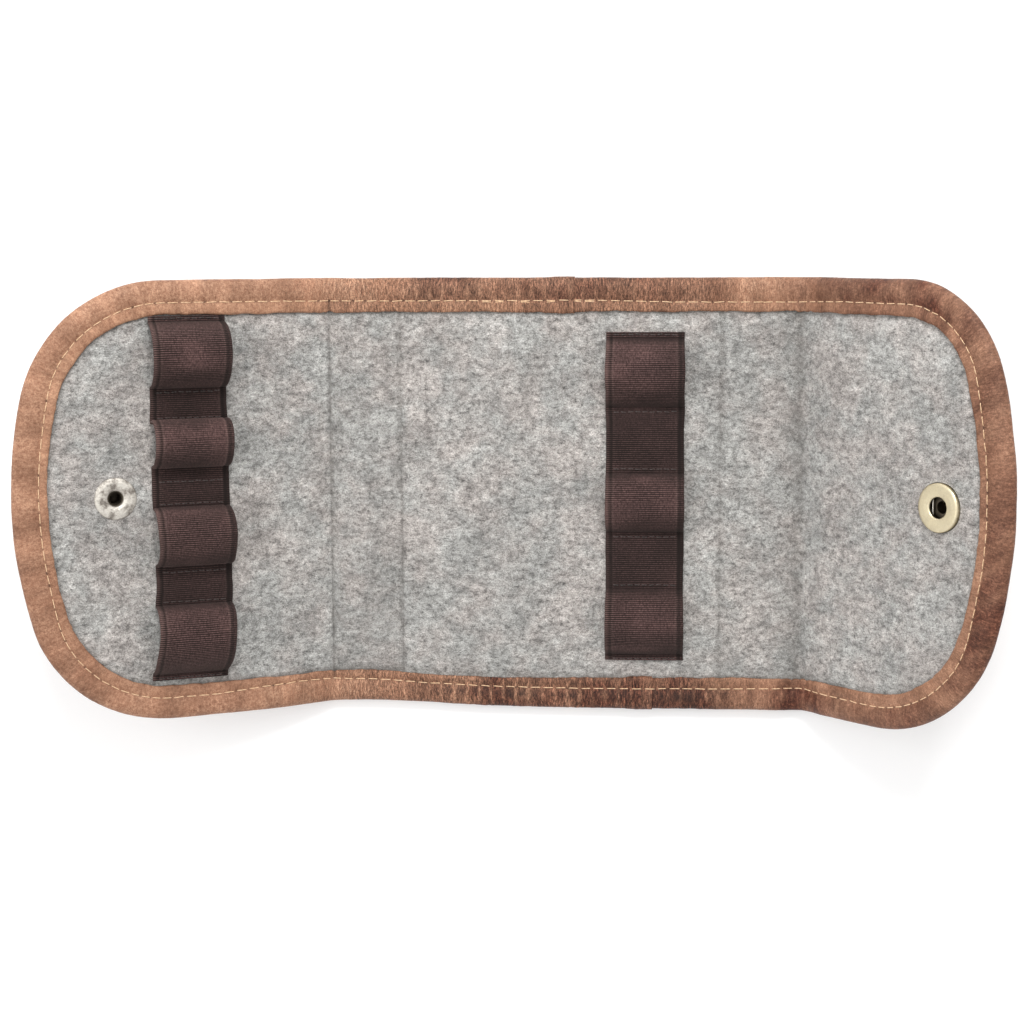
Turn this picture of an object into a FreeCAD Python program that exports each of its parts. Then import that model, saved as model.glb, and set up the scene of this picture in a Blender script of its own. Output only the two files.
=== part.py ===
import FreeCAD, Part
import math
import os
import Sketcher
from FreeCAD import Placement, Rotation, Vector

# A small fold-over roll case: a leather shell lined with felt, its edge bound with a
# folded leather strip, with two looped elastic bands and a ring snap.
# Everything is laid out flat first, +X along the case and +Z out of the felt, and each
# panel's pieces are then turned about its crease into the half-open rest pose.
# The origin is at the centre of the middle panel's underside.

DIMENSIONS = {
    # the flat case, in millimetres
    "half_width": 57.9,
    "middle_length": 85.0,
    "left_spine_length": 19.4,
    "right_spine_length": 22.1,
    "left_flap_length": 85.0,
    "right_flap_length": 69.1,
    # the rounded ends: one flat arc between two corner arcs
    "left_end_radius": 121.5,
    "left_end_offset": 1.25,
    "left_back_corner": 38.0,
    "left_front_corner": 37.0,
    "right_end_radius": 113.4,
    "right_end_offset": 3.25,
    "right_back_corner": 30.4,
    "right_front_corner": 39.25,
    # the layers
    "leather_thickness": 1.5,
    "felt_thickness": 2.5,
    "felt_rim_thickness": 1.9,
    "binding_thickness": 0.9,
    "binding_width": 9.0,
    "thread_inset": 6.2,
    "thread_width": 0.6,
    "thread_height": 0.2,
    # where the two lengths of binding meet, along X
    "back_binding_end": 3.9,
    "front_binding_end": 24.7,
    "binding_gap": 0.1,
    # the creases, and the angles of the panels in degrees
    "crease_gap": 0.3,
    "mitre_height": 4.0,
    "mitre_margin": 1.0,
    "left_spine_tilt": 0.0,
    "left_flap_tilt": 24.7,
    "right_spine_tilt": 0.0,
    "right_flap_tilt": 45.7,
    "left_spine_closed": 48.3,
    "right_spine_closed": 67.96,
    "half_turn": 180.0,
    # the elastic bands
    "band_thickness": 1.0,
    "band_hem": 1.3,
    "left_band_centre": 39.0,
    "left_band_width": 20.4,
    "left_band_rise": 8.5,
    "right_band_centre": 65.1,
    "right_band_width": 20.8,
    "right_band_rise": 6.4,
    "row_width": 0.5,
    "row_height": 0.25,
    "row_inset": 0.8,
    "row_margin": 1.2,
    # the snap: its distance behind the centre line, how far its halves stand from the
    # flaps' creases, and their sections
    "snap_y": 1.7,
    "stud_reach": 58.6,
    "socket_reach": 47.6,
    "snap_edge": 0.3,
    "barrel_bore": 1.55,
    "barrel_radius": 1.85,
    "barrel_hole": 1.9,
    "barrel_end": 2.2,
    "eyelet_bore": 1.95,
    "eyelet_radius": 5.6,
    "eyelet_seat": 3.6,
    "eyelet_rise": 0.85,
    "stud_flange_radius": 4.3,
    "stud_flange": 0.5,
    "stud_neck": 2.1,
    "stud_radius": 2.3,
    "stud_tip": 1.9,
    "stud_height": 2.8,
    "neck_depth": 1.2,
    "knob_start": 1.6,
    "knob_end": 2.3,
    "cap_radius": 7.5,
    "cap_height": 1.3,
    "cap_wall": 0.35,
    "cap_crown": 5.5,
    "cap_drop": 0.1,
    "cap_shoulder": 0.5,
    "cap_fold": 0.2,
    "post_flange": 4.5,
    "post_radius": 2.0,
    "post_bore": 1.6,
    "post_roll": 2.8,
    "post_seat": 0.25,
    "roll_height": 0.25,
    "socket_radius": 6.2,
    "socket_floor": 2.2,
    "socket_top": 5.0,
    "socket_mouth": 2.9,
    "socket_wall": 0.45,
    "socket_lip": 4.1,
    "spring_wire": 0.3,
    "spring_spread": 2.7,
    "spring_half_length": 3.4,
    "spring_bend": 2.4,
    "spring_height": 3.45,
}

# Loops of the two bands, back to front: where each one leaves the felt and returns to it.
LEFT_LOOPS = ((47.4, 29.8), (21.4, 6.4), (-1.1, -17.5), (-27.0, -45.8))
RIGHT_LOOPS = ((42.3, 23.4), (6.6, -9.9), (-24.5, -43.0))

doc = FreeCAD.newDocument("roll_case")
parts = []


def size(name):
    """The sheet's cell for a dimension, as it is written in an expression."""
    return "Sizes." + name


def make_sheet():
    sheet = doc.addObject("Spreadsheet::Sheet", "Sizes")
    cells = dict(DIMENSIONS)
    for side, loops in (("left", LEFT_LOOPS), ("right", RIGHT_LOOPS)):
        for number, (back, front) in enumerate(loops, 1):
            cells[f"{side}_loop_{number}_back"] = back
            cells[f"{side}_loop_{number}_front"] = front
    for row, (name, value) in enumerate(cells.items(), 1):
        sheet.set(f"A{row}", name)
        sheet.set(f"B{row}", str(value))
        sheet.setAlias(f"B{row}", name)
    doc.recompute()


def bind(thing, **expressions):
    """Tie properties to expressions; a double underscore stands for the dot in a path."""
    for path, expression in expressions.items():
        thing.setExpression(path.replace("__", "."), expression)
    return thing


# Heights of the flat stack, and the flat positions of the creases and snap.
INTERFACE = size("leather_thickness")
FELT_TOP = f"({INTERFACE} + {size('felt_thickness')})"
RIM_TOP = f"({INTERFACE} + {size('felt_rim_thickness')})"
BINDING_TOP = f"({RIM_TOP} + {size('binding_thickness')})"
LEFT_INNER = f"(-{size('middle_length')} / 2)"
LEFT_OUTER = f"({LEFT_INNER} - {size('left_spine_length')})"
RIGHT_INNER = f"({size('middle_length')} / 2)"
RIGHT_OUTER = f"({RIGHT_INNER} + {size('right_spine_length')})"
LEFT_TIP = f"({LEFT_OUTER} - {size('left_flap_length')})"
RIGHT_TIP = f"({RIGHT_OUTER} + {size('right_flap_length')})"
STUD_X = f"({LEFT_OUTER} - {size('stud_reach')})"
SOCKET_X = f"({RIGHT_OUTER} + {size('socket_reach')})"

# Each turned panel: the rotation about +Y, its crease when flat, and the crease at rest.
PANELS = {
    "middle": None,
    "left_spine": (size("left_spine_tilt"), LEFT_INNER, LEFT_INNER, INTERFACE),
    "left_flap": (
        size("left_flap_tilt"),
        LEFT_OUTER,
        f"({LEFT_INNER} - {size('left_spine_length')} * cos({size('left_spine_tilt')}))",
        f"({INTERFACE} + {size('left_spine_length')} * sin({size('left_spine_tilt')}))",
    ),
    "right_spine": (f"-{size('right_spine_tilt')}", RIGHT_INNER, RIGHT_INNER, INTERFACE),
    "right_flap": (
        f"-{size('right_flap_tilt')}",
        RIGHT_OUTER,
        f"({RIGHT_INNER} + {size('right_spine_length')} * cos({size('right_spine_tilt')}))",
        f"({INTERFACE} + {size('right_spine_length')} * sin({size('right_spine_tilt')}))",
    ),
}


def finish(thing, label, panel, at_x="0", at_y="0"):
    """Name a finished piece and turn it with its panel from the flat layout to rest.

    at_x and at_y are where the piece's own origin lies in the flat layout.
    """
    thing.Label = label
    if PANELS[panel]:
        angle, flat_x, rest_x, rest_z = PANELS[panel]
        thing.Placement = Placement(Vector(), Rotation(Vector(0, 1, 0), 1))
        turn = f"({angle})"
        reach = f"({at_x} - {flat_x})"
        bind(
            thing,
            Placement__Rotation__Angle=angle,
            Placement__Base__x=f"{rest_x} + cos{turn} * {reach} - sin{turn} * {INTERFACE}",
            Placement__Base__y=at_y,
            Placement__Base__z=f"{rest_z} - sin{turn} * {reach} - cos{turn} * {INTERFACE}",
        )
    parts.append(thing)


def corner_arc(end_centre, end_radius, corner_radius, corner_y, side):
    """Centre of a corner arc that meets the end arc, and the direction where they meet."""
    reach = end_radius - corner_radius
    rise = corner_y - end_centre.y
    centre = Vector(end_centre.x + side * math.sqrt(reach ** 2 - rise ** 2), corner_y, 0)
    return centre, math.atan2(rise, centre.x - end_centre.x)


def arc(centre, radius, start, stop):
    return Part.ArcOfCircle(Part.Circle(centre, Vector(0, 0, 1), radius), start, stop)


def end_geometry(name, side, flat_tip):
    """The three arcs of one rounded end, back corner first."""
    d = DIMENSIONS
    radius = d[name + "_end_radius"]
    back_radius = d[name + "_back_corner"]
    front_radius = d[name + "_front_corner"]
    centre = Vector(flat_tip - side * radius, d[name + "_end_offset"], 0)
    back_y = d["half_width"] - back_radius
    front_y = front_radius - d["half_width"]
    back, back_turn = corner_arc(centre, radius, back_radius, back_y, side)
    front, front_turn = corner_arc(centre, radius, front_radius, front_y, side)
    quarter = math.pi / 2
    if side < 0:
        front_turn += 2 * math.pi
        return (
            arc(back, back_radius, quarter, back_turn),
            arc(centre, radius, back_turn, front_turn),
            arc(front, front_radius, front_turn, 3 * quarter),
        )
    return (
        arc(back, back_radius, back_turn, quarter),
        arc(centre, radius, front_turn, back_turn),
        arc(front, front_radius, -quarter, front_turn),
    )


def constrain(sketch, name, expression, *parameters):
    index = sketch.addConstraint(Sketcher.Constraint(*parameters))
    sketch.renameConstraint(index, name)
    sketch.setExpression("Constraints." + name, expression)


def make_outline():
    """The flat outline: two straight edges and two ends of three tangent arcs each."""
    d = DIMENSIONS
    left_tip = -d["middle_length"] / 2 - d["left_spine_length"] - d["left_flap_length"]
    right_tip = d["middle_length"] / 2 + d["right_spine_length"] + d["right_flap_length"]
    left_back, left_end, left_front = end_geometry("left", -1, left_tip)
    right_back, right_end, right_front = end_geometry("right", 1, right_tip)
    sketch = doc.addObject("Sketcher::SketchObject", "outline")
    sketch.addGeometry([
        Part.LineSegment(right_back.EndPoint, left_back.StartPoint),
        left_back,
        left_end,
        left_front,
        Part.LineSegment(left_front.EndPoint, right_front.StartPoint),
        right_front,
        right_end,
        right_back,
    ])
    back, left_b, left_e, left_f, front, right_f, right_e, right_b = range(8)
    for index in range(8):
        sketch.addConstraint(Sketcher.Constraint("Tangent", index, 2, (index + 1) % 8, 1))
    sketch.addConstraint(Sketcher.Constraint("Horizontal", back))
    sketch.addConstraint(Sketcher.Constraint("Horizontal", front))
    radii = (
        ("left_back_corner", left_b),
        ("left_end_radius", left_e),
        ("left_front_corner", left_f),
        ("right_front_corner", right_f),
        ("right_end_radius", right_e),
        ("right_back_corner", right_b),
    )
    for name, index in radii:
        constrain(sketch, name, size(name), "Radius", index, d[name])
    half = d["half_width"]
    constrain(sketch, "back_edge", size("half_width"), "DistanceY", -1, 1, back, 1, half)
    constrain(sketch, "front_edge", "-" + size("half_width"), "DistanceY", -1, 1, front, 1, -half)
    ends = (
        ("left", left_e, left_end, f"{LEFT_TIP} + {size('left_end_radius')}"),
        ("right", right_e, right_end, f"{RIGHT_TIP} - {size('right_end_radius')}"),
    )
    for name, index, geometry, centre_x in ends:
        centre = geometry.Center
        constrain(sketch, name + "_centre", centre_x, "DistanceX", -1, 1, index, 3, centre.x)
        offset = size(name + "_end_offset")
        constrain(sketch, name + "_shift", offset, "DistanceY", -1, 1, index, 3, centre.y)
    return sketch


def inset(name, outline, distance):
    """The outline moved inwards by an expression's worth."""
    ring = doc.addObject("Part::Offset2D", name)
    ring.Source = outline
    ring.Fill = False
    return bind(ring, Value=f"-({distance})")


def slab(name, outline, low, high):
    """A flat outline raised from one height to another."""
    block = doc.addObject("Part::Extrusion", name)
    block.Base = outline
    block.DirMode = "Custom"
    block.Dir = Vector(0, 0, 1)
    block.Solid = True
    block.FaceMakerClass = "Part::FaceMakerBullseye"
    return bind(block, LengthFwd=f"{high} - {low}", Placement__Base__z=low)


def boolean(kind, name, base, tool):
    result = doc.addObject("Part::" + kind, name)
    result.Base = base
    result.Tool = tool
    return result


def fuse(name, shapes):
    result = doc.addObject("Part::MultiFuse", name)
    result.Shapes = shapes
    return result


def box(name, low, high):
    """A box between two corners given as triples of expressions."""
    block = doc.addObject("Part::Box", name)
    return bind(
        block,
        Length=f"{high[0]} - {low[0]}",
        Width=f"{high[1]} - {low[1]}",
        Height=f"{high[2]} - {low[2]}",
        Placement__Base__x=low[0],
        Placement__Base__y=low[1],
        Placement__Base__z=low[2],
    )


def rod(name, centre_x, radius, low, high):
    """An upright cylinder on the snap's line."""
    cylinder = doc.addObject("Part::Cylinder", name)
    return bind(
        cylinder,
        Radius=radius,
        Height=f"{high} - {low}",
        Placement__Base__x=centre_x,
        Placement__Base__y=size("snap_y"),
        Placement__Base__z=low,
    )


def half_mitre(closed):
    """How far a mitred face leans back at the mitre's full height, for a closed angle."""
    return f"({size('mitre_height')} * tan(({closed}) / 2 + {size('mitre_margin')}))"


def panel_cutter(name, low_x, high_x, low_lean, high_lean, low_y, high_y):
    """A block over one panel: upright below the crease axis and mitred above it."""
    half_gap = f"{size('crease_gap')} / 2"
    low = f"({low_x} + {half_gap})"
    high = f"({high_x} - {half_gap})"
    below = box(name + "_below", (low, low_y, "-1"), (high, high_y, INTERFACE))
    above = doc.addObject("Part::Wedge", name + "_above")
    above.Placement = Placement(Vector(), Rotation(Vector(1, 0, 0), 90))
    bind(
        above,
        Xmin=low,
        Xmax=high,
        X2min=f"{low} + {low_lean}",
        X2max=f"{high} - {high_lean}",
        Ymin="0",
        Ymax=size("mitre_height"),
        Zmin=f"-{high_y}",
        Zmax=f"-({low_y})",
        Z2min=f"-{high_y}",
        Z2max=f"-({low_y})",
        Placement__Base__z=INTERFACE,
    )
    return boolean("Fuse", name, below, above)


def make_layers(outline):
    """The whole leather sheet, felt, binding and seam, flat and uncut."""
    core = inset("core_outline", outline, size("binding_thickness"))
    inner = inset("inner_outline", outline, size("binding_width"))
    seam = inset("seam_outline", outline, size("thread_inset"))
    seam_inner = inset("seam_inner", outline, f"{size('thread_inset')} + {size('thread_width')}")
    skin = size("binding_thickness")
    leather = boolean(
        "Fuse",
        "leather_sheet",
        slab("leather_field", inner, "0", INTERFACE),
        slab("leather_rim", core, skin, INTERFACE),
    )
    felt = boolean(
        "Fuse",
        "felt_sheet",
        slab("felt_field", inner, INTERFACE, FELT_TOP),
        slab("felt_rim", core, INTERFACE, RIM_TOP),
    )
    filled = slab("binding_block", outline, "0", BINDING_TOP)
    hollow = boolean("Cut", "binding_hollow", filled, slab("binding_core", core, skin, RIM_TOP))
    window = slab("binding_window", inner, "-1", f"{BINDING_TOP} + 1")
    binding = boolean("Cut", "binding_sheet", hollow, window)
    seam_top = f"{BINDING_TOP} + {size('thread_height')}"
    thread = boolean(
        "Cut",
        "seam_sheet",
        slab("seam_block", seam, BINDING_TOP, seam_top),
        slab("seam_window", seam_inner, BINDING_TOP, seam_top),
    )
    return {"leather": leather, "felt": felt, "binding": binding, "binding_thread": thread}


def cutters():
    """One cutter for each panel and one for each separate stretch of binding."""
    wide = f"({size('half_width')} + 2)"
    left_closed = size("left_spine_closed")
    right_closed = size("right_spine_closed")
    lean = {
        "left_outer": half_mitre(f"{size('half_turn')} - {left_closed}"),
        "left_inner": half_mitre(left_closed),
        "right_inner": half_mitre(right_closed),
        "right_outer": half_mitre(f"{size('half_turn')} - {right_closed}"),
    }
    spans = {
        "left_flap": (f"({LEFT_TIP} - 2)", LEFT_OUTER, "0", lean["left_outer"]),
        "left_spine": (LEFT_OUTER, LEFT_INNER, lean["left_outer"], lean["left_inner"]),
        "middle": (LEFT_INNER, RIGHT_INNER, lean["left_inner"], lean["right_inner"]),
        "right_spine": (RIGHT_INNER, RIGHT_OUTER, lean["right_inner"], lean["right_outer"]),
        "right_flap": (RIGHT_OUTER, f"({RIGHT_TIP} + 2)", lean["right_outer"], "0"),
    }
    whole = {
        panel: panel_cutter(panel + "_cutter", *span, f"(-{wide})", wide)
        for panel, span in spans.items()
    }
    rows = {"back": ("0", wide), "front": (f"(-{wide})", "0")}
    strips = {}
    for row, (low_y, high_y) in rows.items():
        for panel in ("left_spine", "right_spine"):
            name = f"{panel}_{row}"
            cutter = panel_cutter(name + "_cutter", *spans[panel], low_y, high_y)
            strips[name] = (panel, cutter)
        meeting = size(row + "_binding_end")
        left = f"({meeting} - {size('binding_gap')})"
        left_span = (LEFT_INNER, left, lean["left_inner"], "0")
        right_span = (meeting, RIGHT_INNER, "0", lean["right_inner"])
        for side, span in (("left", left_span), ("right", right_span)):
            name = f"middle_{side}_{row}"
            cutter = panel_cutter(name + "_cutter", *span, low_y, high_y)
            strips[name] = ("middle", cutter)
    for panel in ("left_flap", "right_flap"):
        strips[panel] = (panel, whole[panel])
    return whole, strips


def snap_holes():
    """What the snap's barrel, post and seats take out of the leather and the felt."""
    deep = f"{FELT_TOP} + 1"
    stud_hole = rod("stud_hole", STUD_X, size("barrel_hole"), "-1", deep)
    seat = rod("eyelet_seat", STUD_X, size("eyelet_radius"), size("eyelet_seat"), deep)
    post_hole = rod("post_hole", SOCKET_X, size("post_radius"), "-1", deep)
    well = rod("socket_well", SOCKET_X, size("socket_radius"), size("socket_floor"), deep)
    return {
        "left_flap_leather": [stud_hole],
        "left_flap_felt": [stud_hole, seat],
        "right_flap_leather": [post_hole],
        "right_flap_felt": [post_hole, well],
    }


def make_panels(layers, whole, holes):
    """Leather, felt and seam thread of every panel."""
    for panel, cutter in whole.items():
        for layer in ("leather", "felt", "binding_thread"):
            label = f"{panel}_{layer}"
            piece = boolean("Common", "blank_" + label, layers[layer], cutter)
            if label in holes:
                tool = fuse("holes_" + label, holes[label]) if len(holes[label]) > 1 else holes[label][0]
                piece = boolean("Cut", "pierced_" + label, piece, tool)
            finish(piece, label, panel)


def make_binding(layers, strips):
    for name, (panel, cutter) in strips.items():
        piece = boolean("Common", "strip_" + name, layers["binding"], cutter)
        finish(piece, name + "_binding", panel)


def loop_arch(name, back, front, centre_x, width, rise):
    """One loop: a strip bent into an arc that stands on the felt between two rows."""
    chord = f"({back} - {front})"
    radius = f"(({chord} * {chord} / 4 + {rise} * {rise}) / (2 * {rise}))"
    centre_z = f"({FELT_TOP} + {rise} - {radius})"
    thickness = size("band_thickness")
    rolls = []
    for layer, expression in (("outer", radius), ("inner", f"{radius} - {thickness}")):
        roll = doc.addObject("Part::Cylinder", f"{name}_{layer}")
        roll.Placement = Placement(Vector(), Rotation(Vector(0, 1, 0), 90))
        bind(
            roll,
            Radius=expression,
            Height=width,
            Placement__Base__x=f"{centre_x} - {width} / 2",
            Placement__Base__y=f"({back} + {front}) / 2",
            Placement__Base__z=centre_z,
        )
        rolls.append(roll)
    ring = boolean("Cut", name + "_ring", *rolls)
    clear = box(
        name + "_above",
        (f"({centre_x} - {width})", f"({front} - {radius})", FELT_TOP),
        (f"({centre_x} + {width})", f"({back} + {radius})", f"({FELT_TOP} + {rise} + 1)"),
    )
    return boolean("Common", name, ring, clear)


def make_band(side, loops, centre_x, panel):
    """An elastic band sewn down flat between its loops, and the rows that sew it."""
    width = size(side + "_band_width")
    rise = size(side + "_band_rise")
    hem = size("band_hem")
    thickness = size("band_thickness")
    band_top = f"({FELT_TOP} + {thickness})"
    edges = [
        (size(f"{side}_loop_{number}_back"), size(f"{side}_loop_{number}_front"))
        for number in range(1, len(loops) + 1)
    ]
    pieces = [
        loop_arch(f"{side}_loop_{number}", back, front, centre_x, width, rise)
        for number, (back, front) in enumerate(edges, 1)
    ]
    # Each flat stretch runs under the feet of the loops beside it by the band's thickness.
    flats = [(f"({edges[0][0]} + {hem})", f"({edges[0][0]} - {thickness})")]
    for (_, front), (back, _) in zip(edges, edges[1:]):
        flats.append((f"({front} + {thickness})", f"({back} - {thickness})"))
    flats.append((f"({edges[-1][1]} + {thickness})", f"({edges[-1][1]} - {hem})"))
    for number, (high_y, low_y) in enumerate(flats, 1):
        low = (f"({centre_x} - {width} / 2)", low_y, FELT_TOP)
        high = (f"({centre_x} + {width} / 2)", high_y, band_top)
        pieces.append(box(f"{side}_flat_{number}", low, high))
    finish(fuse(side + "_band_strip", pieces), side + "_elastic_band", panel)

    inset_y = size("row_inset")
    rows = [f"({edges[0][0]} + {hem} / 2)"]
    for (_, front), (back, _) in zip(edges, edges[1:]):
        rows.append(f"({front} - {inset_y})")
        rows.append(f"({back} + {inset_y})")
    rows.append(f"({edges[-1][1]} - {hem} / 2)")
    reach = f"({width} / 2 - {size('row_margin')})"
    half_row = f"{size('row_width')} / 2"
    threads = [
        box(
            f"{side}_row_{number}",
            (f"({centre_x} - {reach})", f"({row} - {half_row})", band_top),
            (f"({centre_x} + {reach})", f"({row} + {half_row})", f"({band_top} + {size('row_height')})"),
        )
        for number, row in enumerate(rows, 1)
    ]
    stitches = doc.addObject("Part::Compound", side + "_rows")
    stitches.Links = threads
    finish(stitches, side + "_band_stitches", panel)


def profile_sketch(sketch, profile):
    """A closed polygon through (across, up) pairs of expressions."""
    corners = [
        Vector(sketch.evalExpression(across), sketch.evalExpression(up), 0)
        for across, up in profile
    ]
    count = len(corners)
    for index, corner in enumerate(corners):
        sketch.addGeometry(Part.LineSegment(corner, corners[(index + 1) % count]))
    for index in range(count):
        following = (index + 1) % count
        sketch.addConstraint(Sketcher.Constraint("Coincident", index, 2, following, 1))
    for index, ((across, up), corner) in enumerate(zip(profile, corners)):
        constrain(sketch, f"across_{index}", across, "DistanceX", -1, 1, index, 1, corner.x)
        constrain(sketch, f"up_{index}", up, "DistanceY", -1, 1, index, 1, corner.y)


def turned(label, profile, centre_x, panel):
    """A turned piece: a closed profile of (radius, height) spun about its own axis."""
    body = doc.addObject("PartDesign::Body", "body_" + label)
    sketch = body.newObject("Sketcher::SketchObject", "profile_" + label)
    upright = [plane for plane in body.Origin.OriginFeatures if plane.Role == "XZ_Plane"]
    sketch.AttachmentSupport = [(upright[0], "")]
    sketch.MapMode = "FlatFace"
    profile_sketch(sketch, profile)
    spin = body.newObject("PartDesign::Revolution", "spin_" + label)
    spin.Profile = sketch
    spin.ReferenceAxis = (sketch, ["V_Axis"])
    spin.Angle = 360
    finish(body, label, panel, centre_x, size("snap_y"))


def make_eyelet():
    """The felt-side flange, with the barrel that goes through both layers."""
    bore = size("barrel_bore")
    barrel = size("barrel_radius")
    mouth = size("eyelet_bore")
    rim = size("eyelet_radius")
    seat = size("eyelet_seat")
    edge = size("snap_edge")
    top = f"{seat} + {size('eyelet_rise')}"
    profile = (
        (bore, "-" + size("barrel_end")),
        (barrel, "-" + size("barrel_end")),
        (barrel, seat),
        (rim, seat),
        (rim, f"{seat} + {edge}"),
        (f"{rim} - {edge}", top),
        (f"{mouth} + {edge}", top),
        (mouth, f"{seat} + {edge}"),
        (bore, seat),
    )
    turned("snap_eyelet", profile, STUD_X, "left_flap")


def make_stud():
    """The stud on the leather: a flange, a neck and a closed knob that the barrel fills."""
    hole = size("barrel_hole")
    flange = size("stud_flange")
    neck = size("stud_neck")
    knob = size("stud_radius")
    floor = f"{size('barrel_end')} + {size('barrel_hole')} - {size('barrel_radius')}"
    profile = (
        (hole, "0"),
        (size("stud_flange_radius"), "0"),
        (size("stud_flange_radius"), f"-{flange}"),
        (neck, f"-{flange}"),
        (neck, "-" + size("neck_depth")),
        (knob, "-" + size("knob_start")),
        (knob, "-" + size("knob_end")),
        (size("stud_tip"), "-" + size("stud_height")),
        ("0", "-" + size("stud_height")),
        ("0", f"-({floor})"),
        (hole, f"-({floor})"),
    )
    turned("snap_stud", profile, STUD_X, "left_flap")


def make_socket():
    """The ring on the felt that takes the stud: a hollow rim with a lip at its mouth."""
    hole = size("post_radius")
    rim = size("socket_radius")
    floor = size("socket_floor")
    top = size("socket_top")
    mouth = size("socket_mouth")
    wall = size("socket_wall")
    edge = size("snap_edge")
    profile = (
        (hole, floor),
        (f"{rim} - {edge}", floor),
        (rim, f"{floor} + {edge}"),
        (rim, f"{top} - {edge}"),
        (f"{rim} - {edge}", top),
        (f"{mouth} + {edge}", top),
        (mouth, f"{top} - {edge}"),
        (mouth, size("socket_lip")),
        (f"{mouth} + {wall}", size("socket_lip")),
        (f"{mouth} + {wall}", f"{top} - {wall}"),
        (f"{rim} - {wall}", f"{top} - {wall}"),
        (f"{rim} - {wall}", f"{floor} + {wall}"),
        (hole, f"{floor} + {wall}"),
    )
    turned("snap_socket", profile, SOCKET_X, "right_flap")


def make_post():
    """The post inside the cap, rolled over the socket's floor."""
    flange = size("post_flange")
    under = f"-{size('post_seat')}"
    bottom = f"-({size('post_seat')} + {size('cap_wall')})"
    post = size("post_radius")
    bore = size("post_bore")
    roll = size("post_roll")
    floor = f"{size('socket_floor')} + {size('socket_wall')}"
    top = f"{floor} + {size('roll_height')}"
    profile = (
        ("0", bottom),
        (flange, bottom),
        (flange, under),
        (post, under),
        (post, floor),
        (roll, floor),
        (roll, top),
        (bore, top),
        (bore, under),
        ("0", under),
    )
    turned("snap_post", profile, SOCKET_X, "right_flap")


def make_cap():
    """The domed cap on the outside of the right flap, crimped round the post's flange."""
    rim = size("cap_radius")
    wall = size("cap_wall")
    crown = size("cap_crown")
    shoulder = size("cap_shoulder")
    fold = size("cap_fold")
    height = size("cap_height")
    drop = size("cap_drop")
    profile = (
        ("0", f"-{height}"),
        (crown, f"-({height} - {drop})"),
        (rim, f"-{shoulder}"),
        (rim, "0"),
        (size("post_radius"), "0"),
        (size("post_radius"), f"-{fold}"),
        (f"{rim} - {wall}", f"-{fold}"),
        (f"{rim} - {wall}", f"-{shoulder}"),
        (crown, f"-({height} - {drop} - {wall})"),
        ("0", f"-({height} - {wall})"),
    )
    turned("snap_cap", profile, SOCKET_X, "right_flap")


def make_spring():
    """The hairpin wire inside the socket: two straight legs joined by a half circle."""
    spread = DIMENSIONS["spring_spread"]
    low = -DIMENSIONS["spring_half_length"]
    bend = DIMENSIONS["spring_bend"]
    path = doc.addObject("Sketcher::SketchObject", "spring_path")
    path.addGeometry([
        Part.LineSegment(Vector(spread, low, 0), Vector(spread, bend, 0)),
        arc(Vector(0, bend, 0), spread, 0, math.pi),
        Part.LineSegment(Vector(-spread, bend, 0), Vector(-spread, low, 0)),
    ])
    near, half_circle, far = range(3)
    for index in (near, half_circle):
        path.addConstraint(Sketcher.Constraint("Tangent", index, 2, index + 1, 1))
    path.addConstraint(Sketcher.Constraint("Vertical", near))
    constrain(path, "spread", size("spring_spread"), "Radius", half_circle, spread)
    path.addConstraint(Sketcher.Constraint("PointOnObject", half_circle, 3, -2))
    bend_cell = size("spring_bend")
    constrain(path, "bend", bend_cell, "DistanceY", -1, 1, half_circle, 3, bend)
    for name, leg, end in (("near_end", near, 1), ("far_end", far, 2)):
        foot = "-" + size("spring_half_length")
        constrain(path, name, foot, "DistanceY", -1, 1, leg, end, low)
    bind(path, Placement__Base__z=size("spring_height"))
    wire = doc.addObject("Part::Circle", "spring_wire")
    wire.Placement = Placement(Vector(), Rotation(Vector(1, 0, 0), 90))
    bind(
        wire,
        Radius=size("spring_wire"),
        Placement__Base__x=size("spring_spread"),
        Placement__Base__y="-" + size("spring_half_length"),
        Placement__Base__z=size("spring_height"),
    )
    sweep = doc.addObject("Part::Sweep", "spring_sweep")
    sweep.Sections = [wire]
    sweep.Spine = (path, ["Edge1", "Edge2", "Edge3"])
    sweep.Solid = True
    finish(sweep, "snap_spring", "right_flap", SOCKET_X, size("snap_y"))


def make_case():
    """Every piece of the case, in the order that it is put together."""
    layers = make_layers(make_outline())
    whole, strips = cutters()
    make_panels(layers, whole, snap_holes())
    make_binding(layers, strips)
    left_band_x = f"({LEFT_OUTER} - {size('left_band_centre')})"
    right_band_x = f"({LEFT_INNER} + {size('right_band_centre')})"
    make_band("left", LEFT_LOOPS, left_band_x, "left_flap")
    make_band("right", RIGHT_LOOPS, right_band_x, "middle")
    make_eyelet()
    make_stud()
    make_socket()
    make_spring()
    make_post()
    make_cap()


def check_and_write():
    """Refuse a failed or open shape, then write each piece under its own name."""
    doc.recompute()
    for thing in doc.Objects:
        failed = {"Invalid", "Error"} & set(thing.State)
        if failed:
            raise RuntimeError(f"{thing.Label} is {failed}")
    for piece in parts:
        shape = piece.Shape
        if shape.isNull() or not shape.isValid() or not shape.Solids:
            raise RuntimeError(piece.Label + " has no sound solid")
    os.makedirs("parts", exist_ok=True)
    for piece in parts:
        piece.Shape.exportStep(f"parts/{piece.Label}.step")
        solids = len(piece.Shape.Solids)
        print(f"{piece.Label}: {solids} solid(s), {piece.Shape.Volume:.1f} mm3")


make_sheet()
make_case()
check_and_write()
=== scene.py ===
import math

import bpy
import numpy as np
from mathutils import Matrix, Vector


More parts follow.
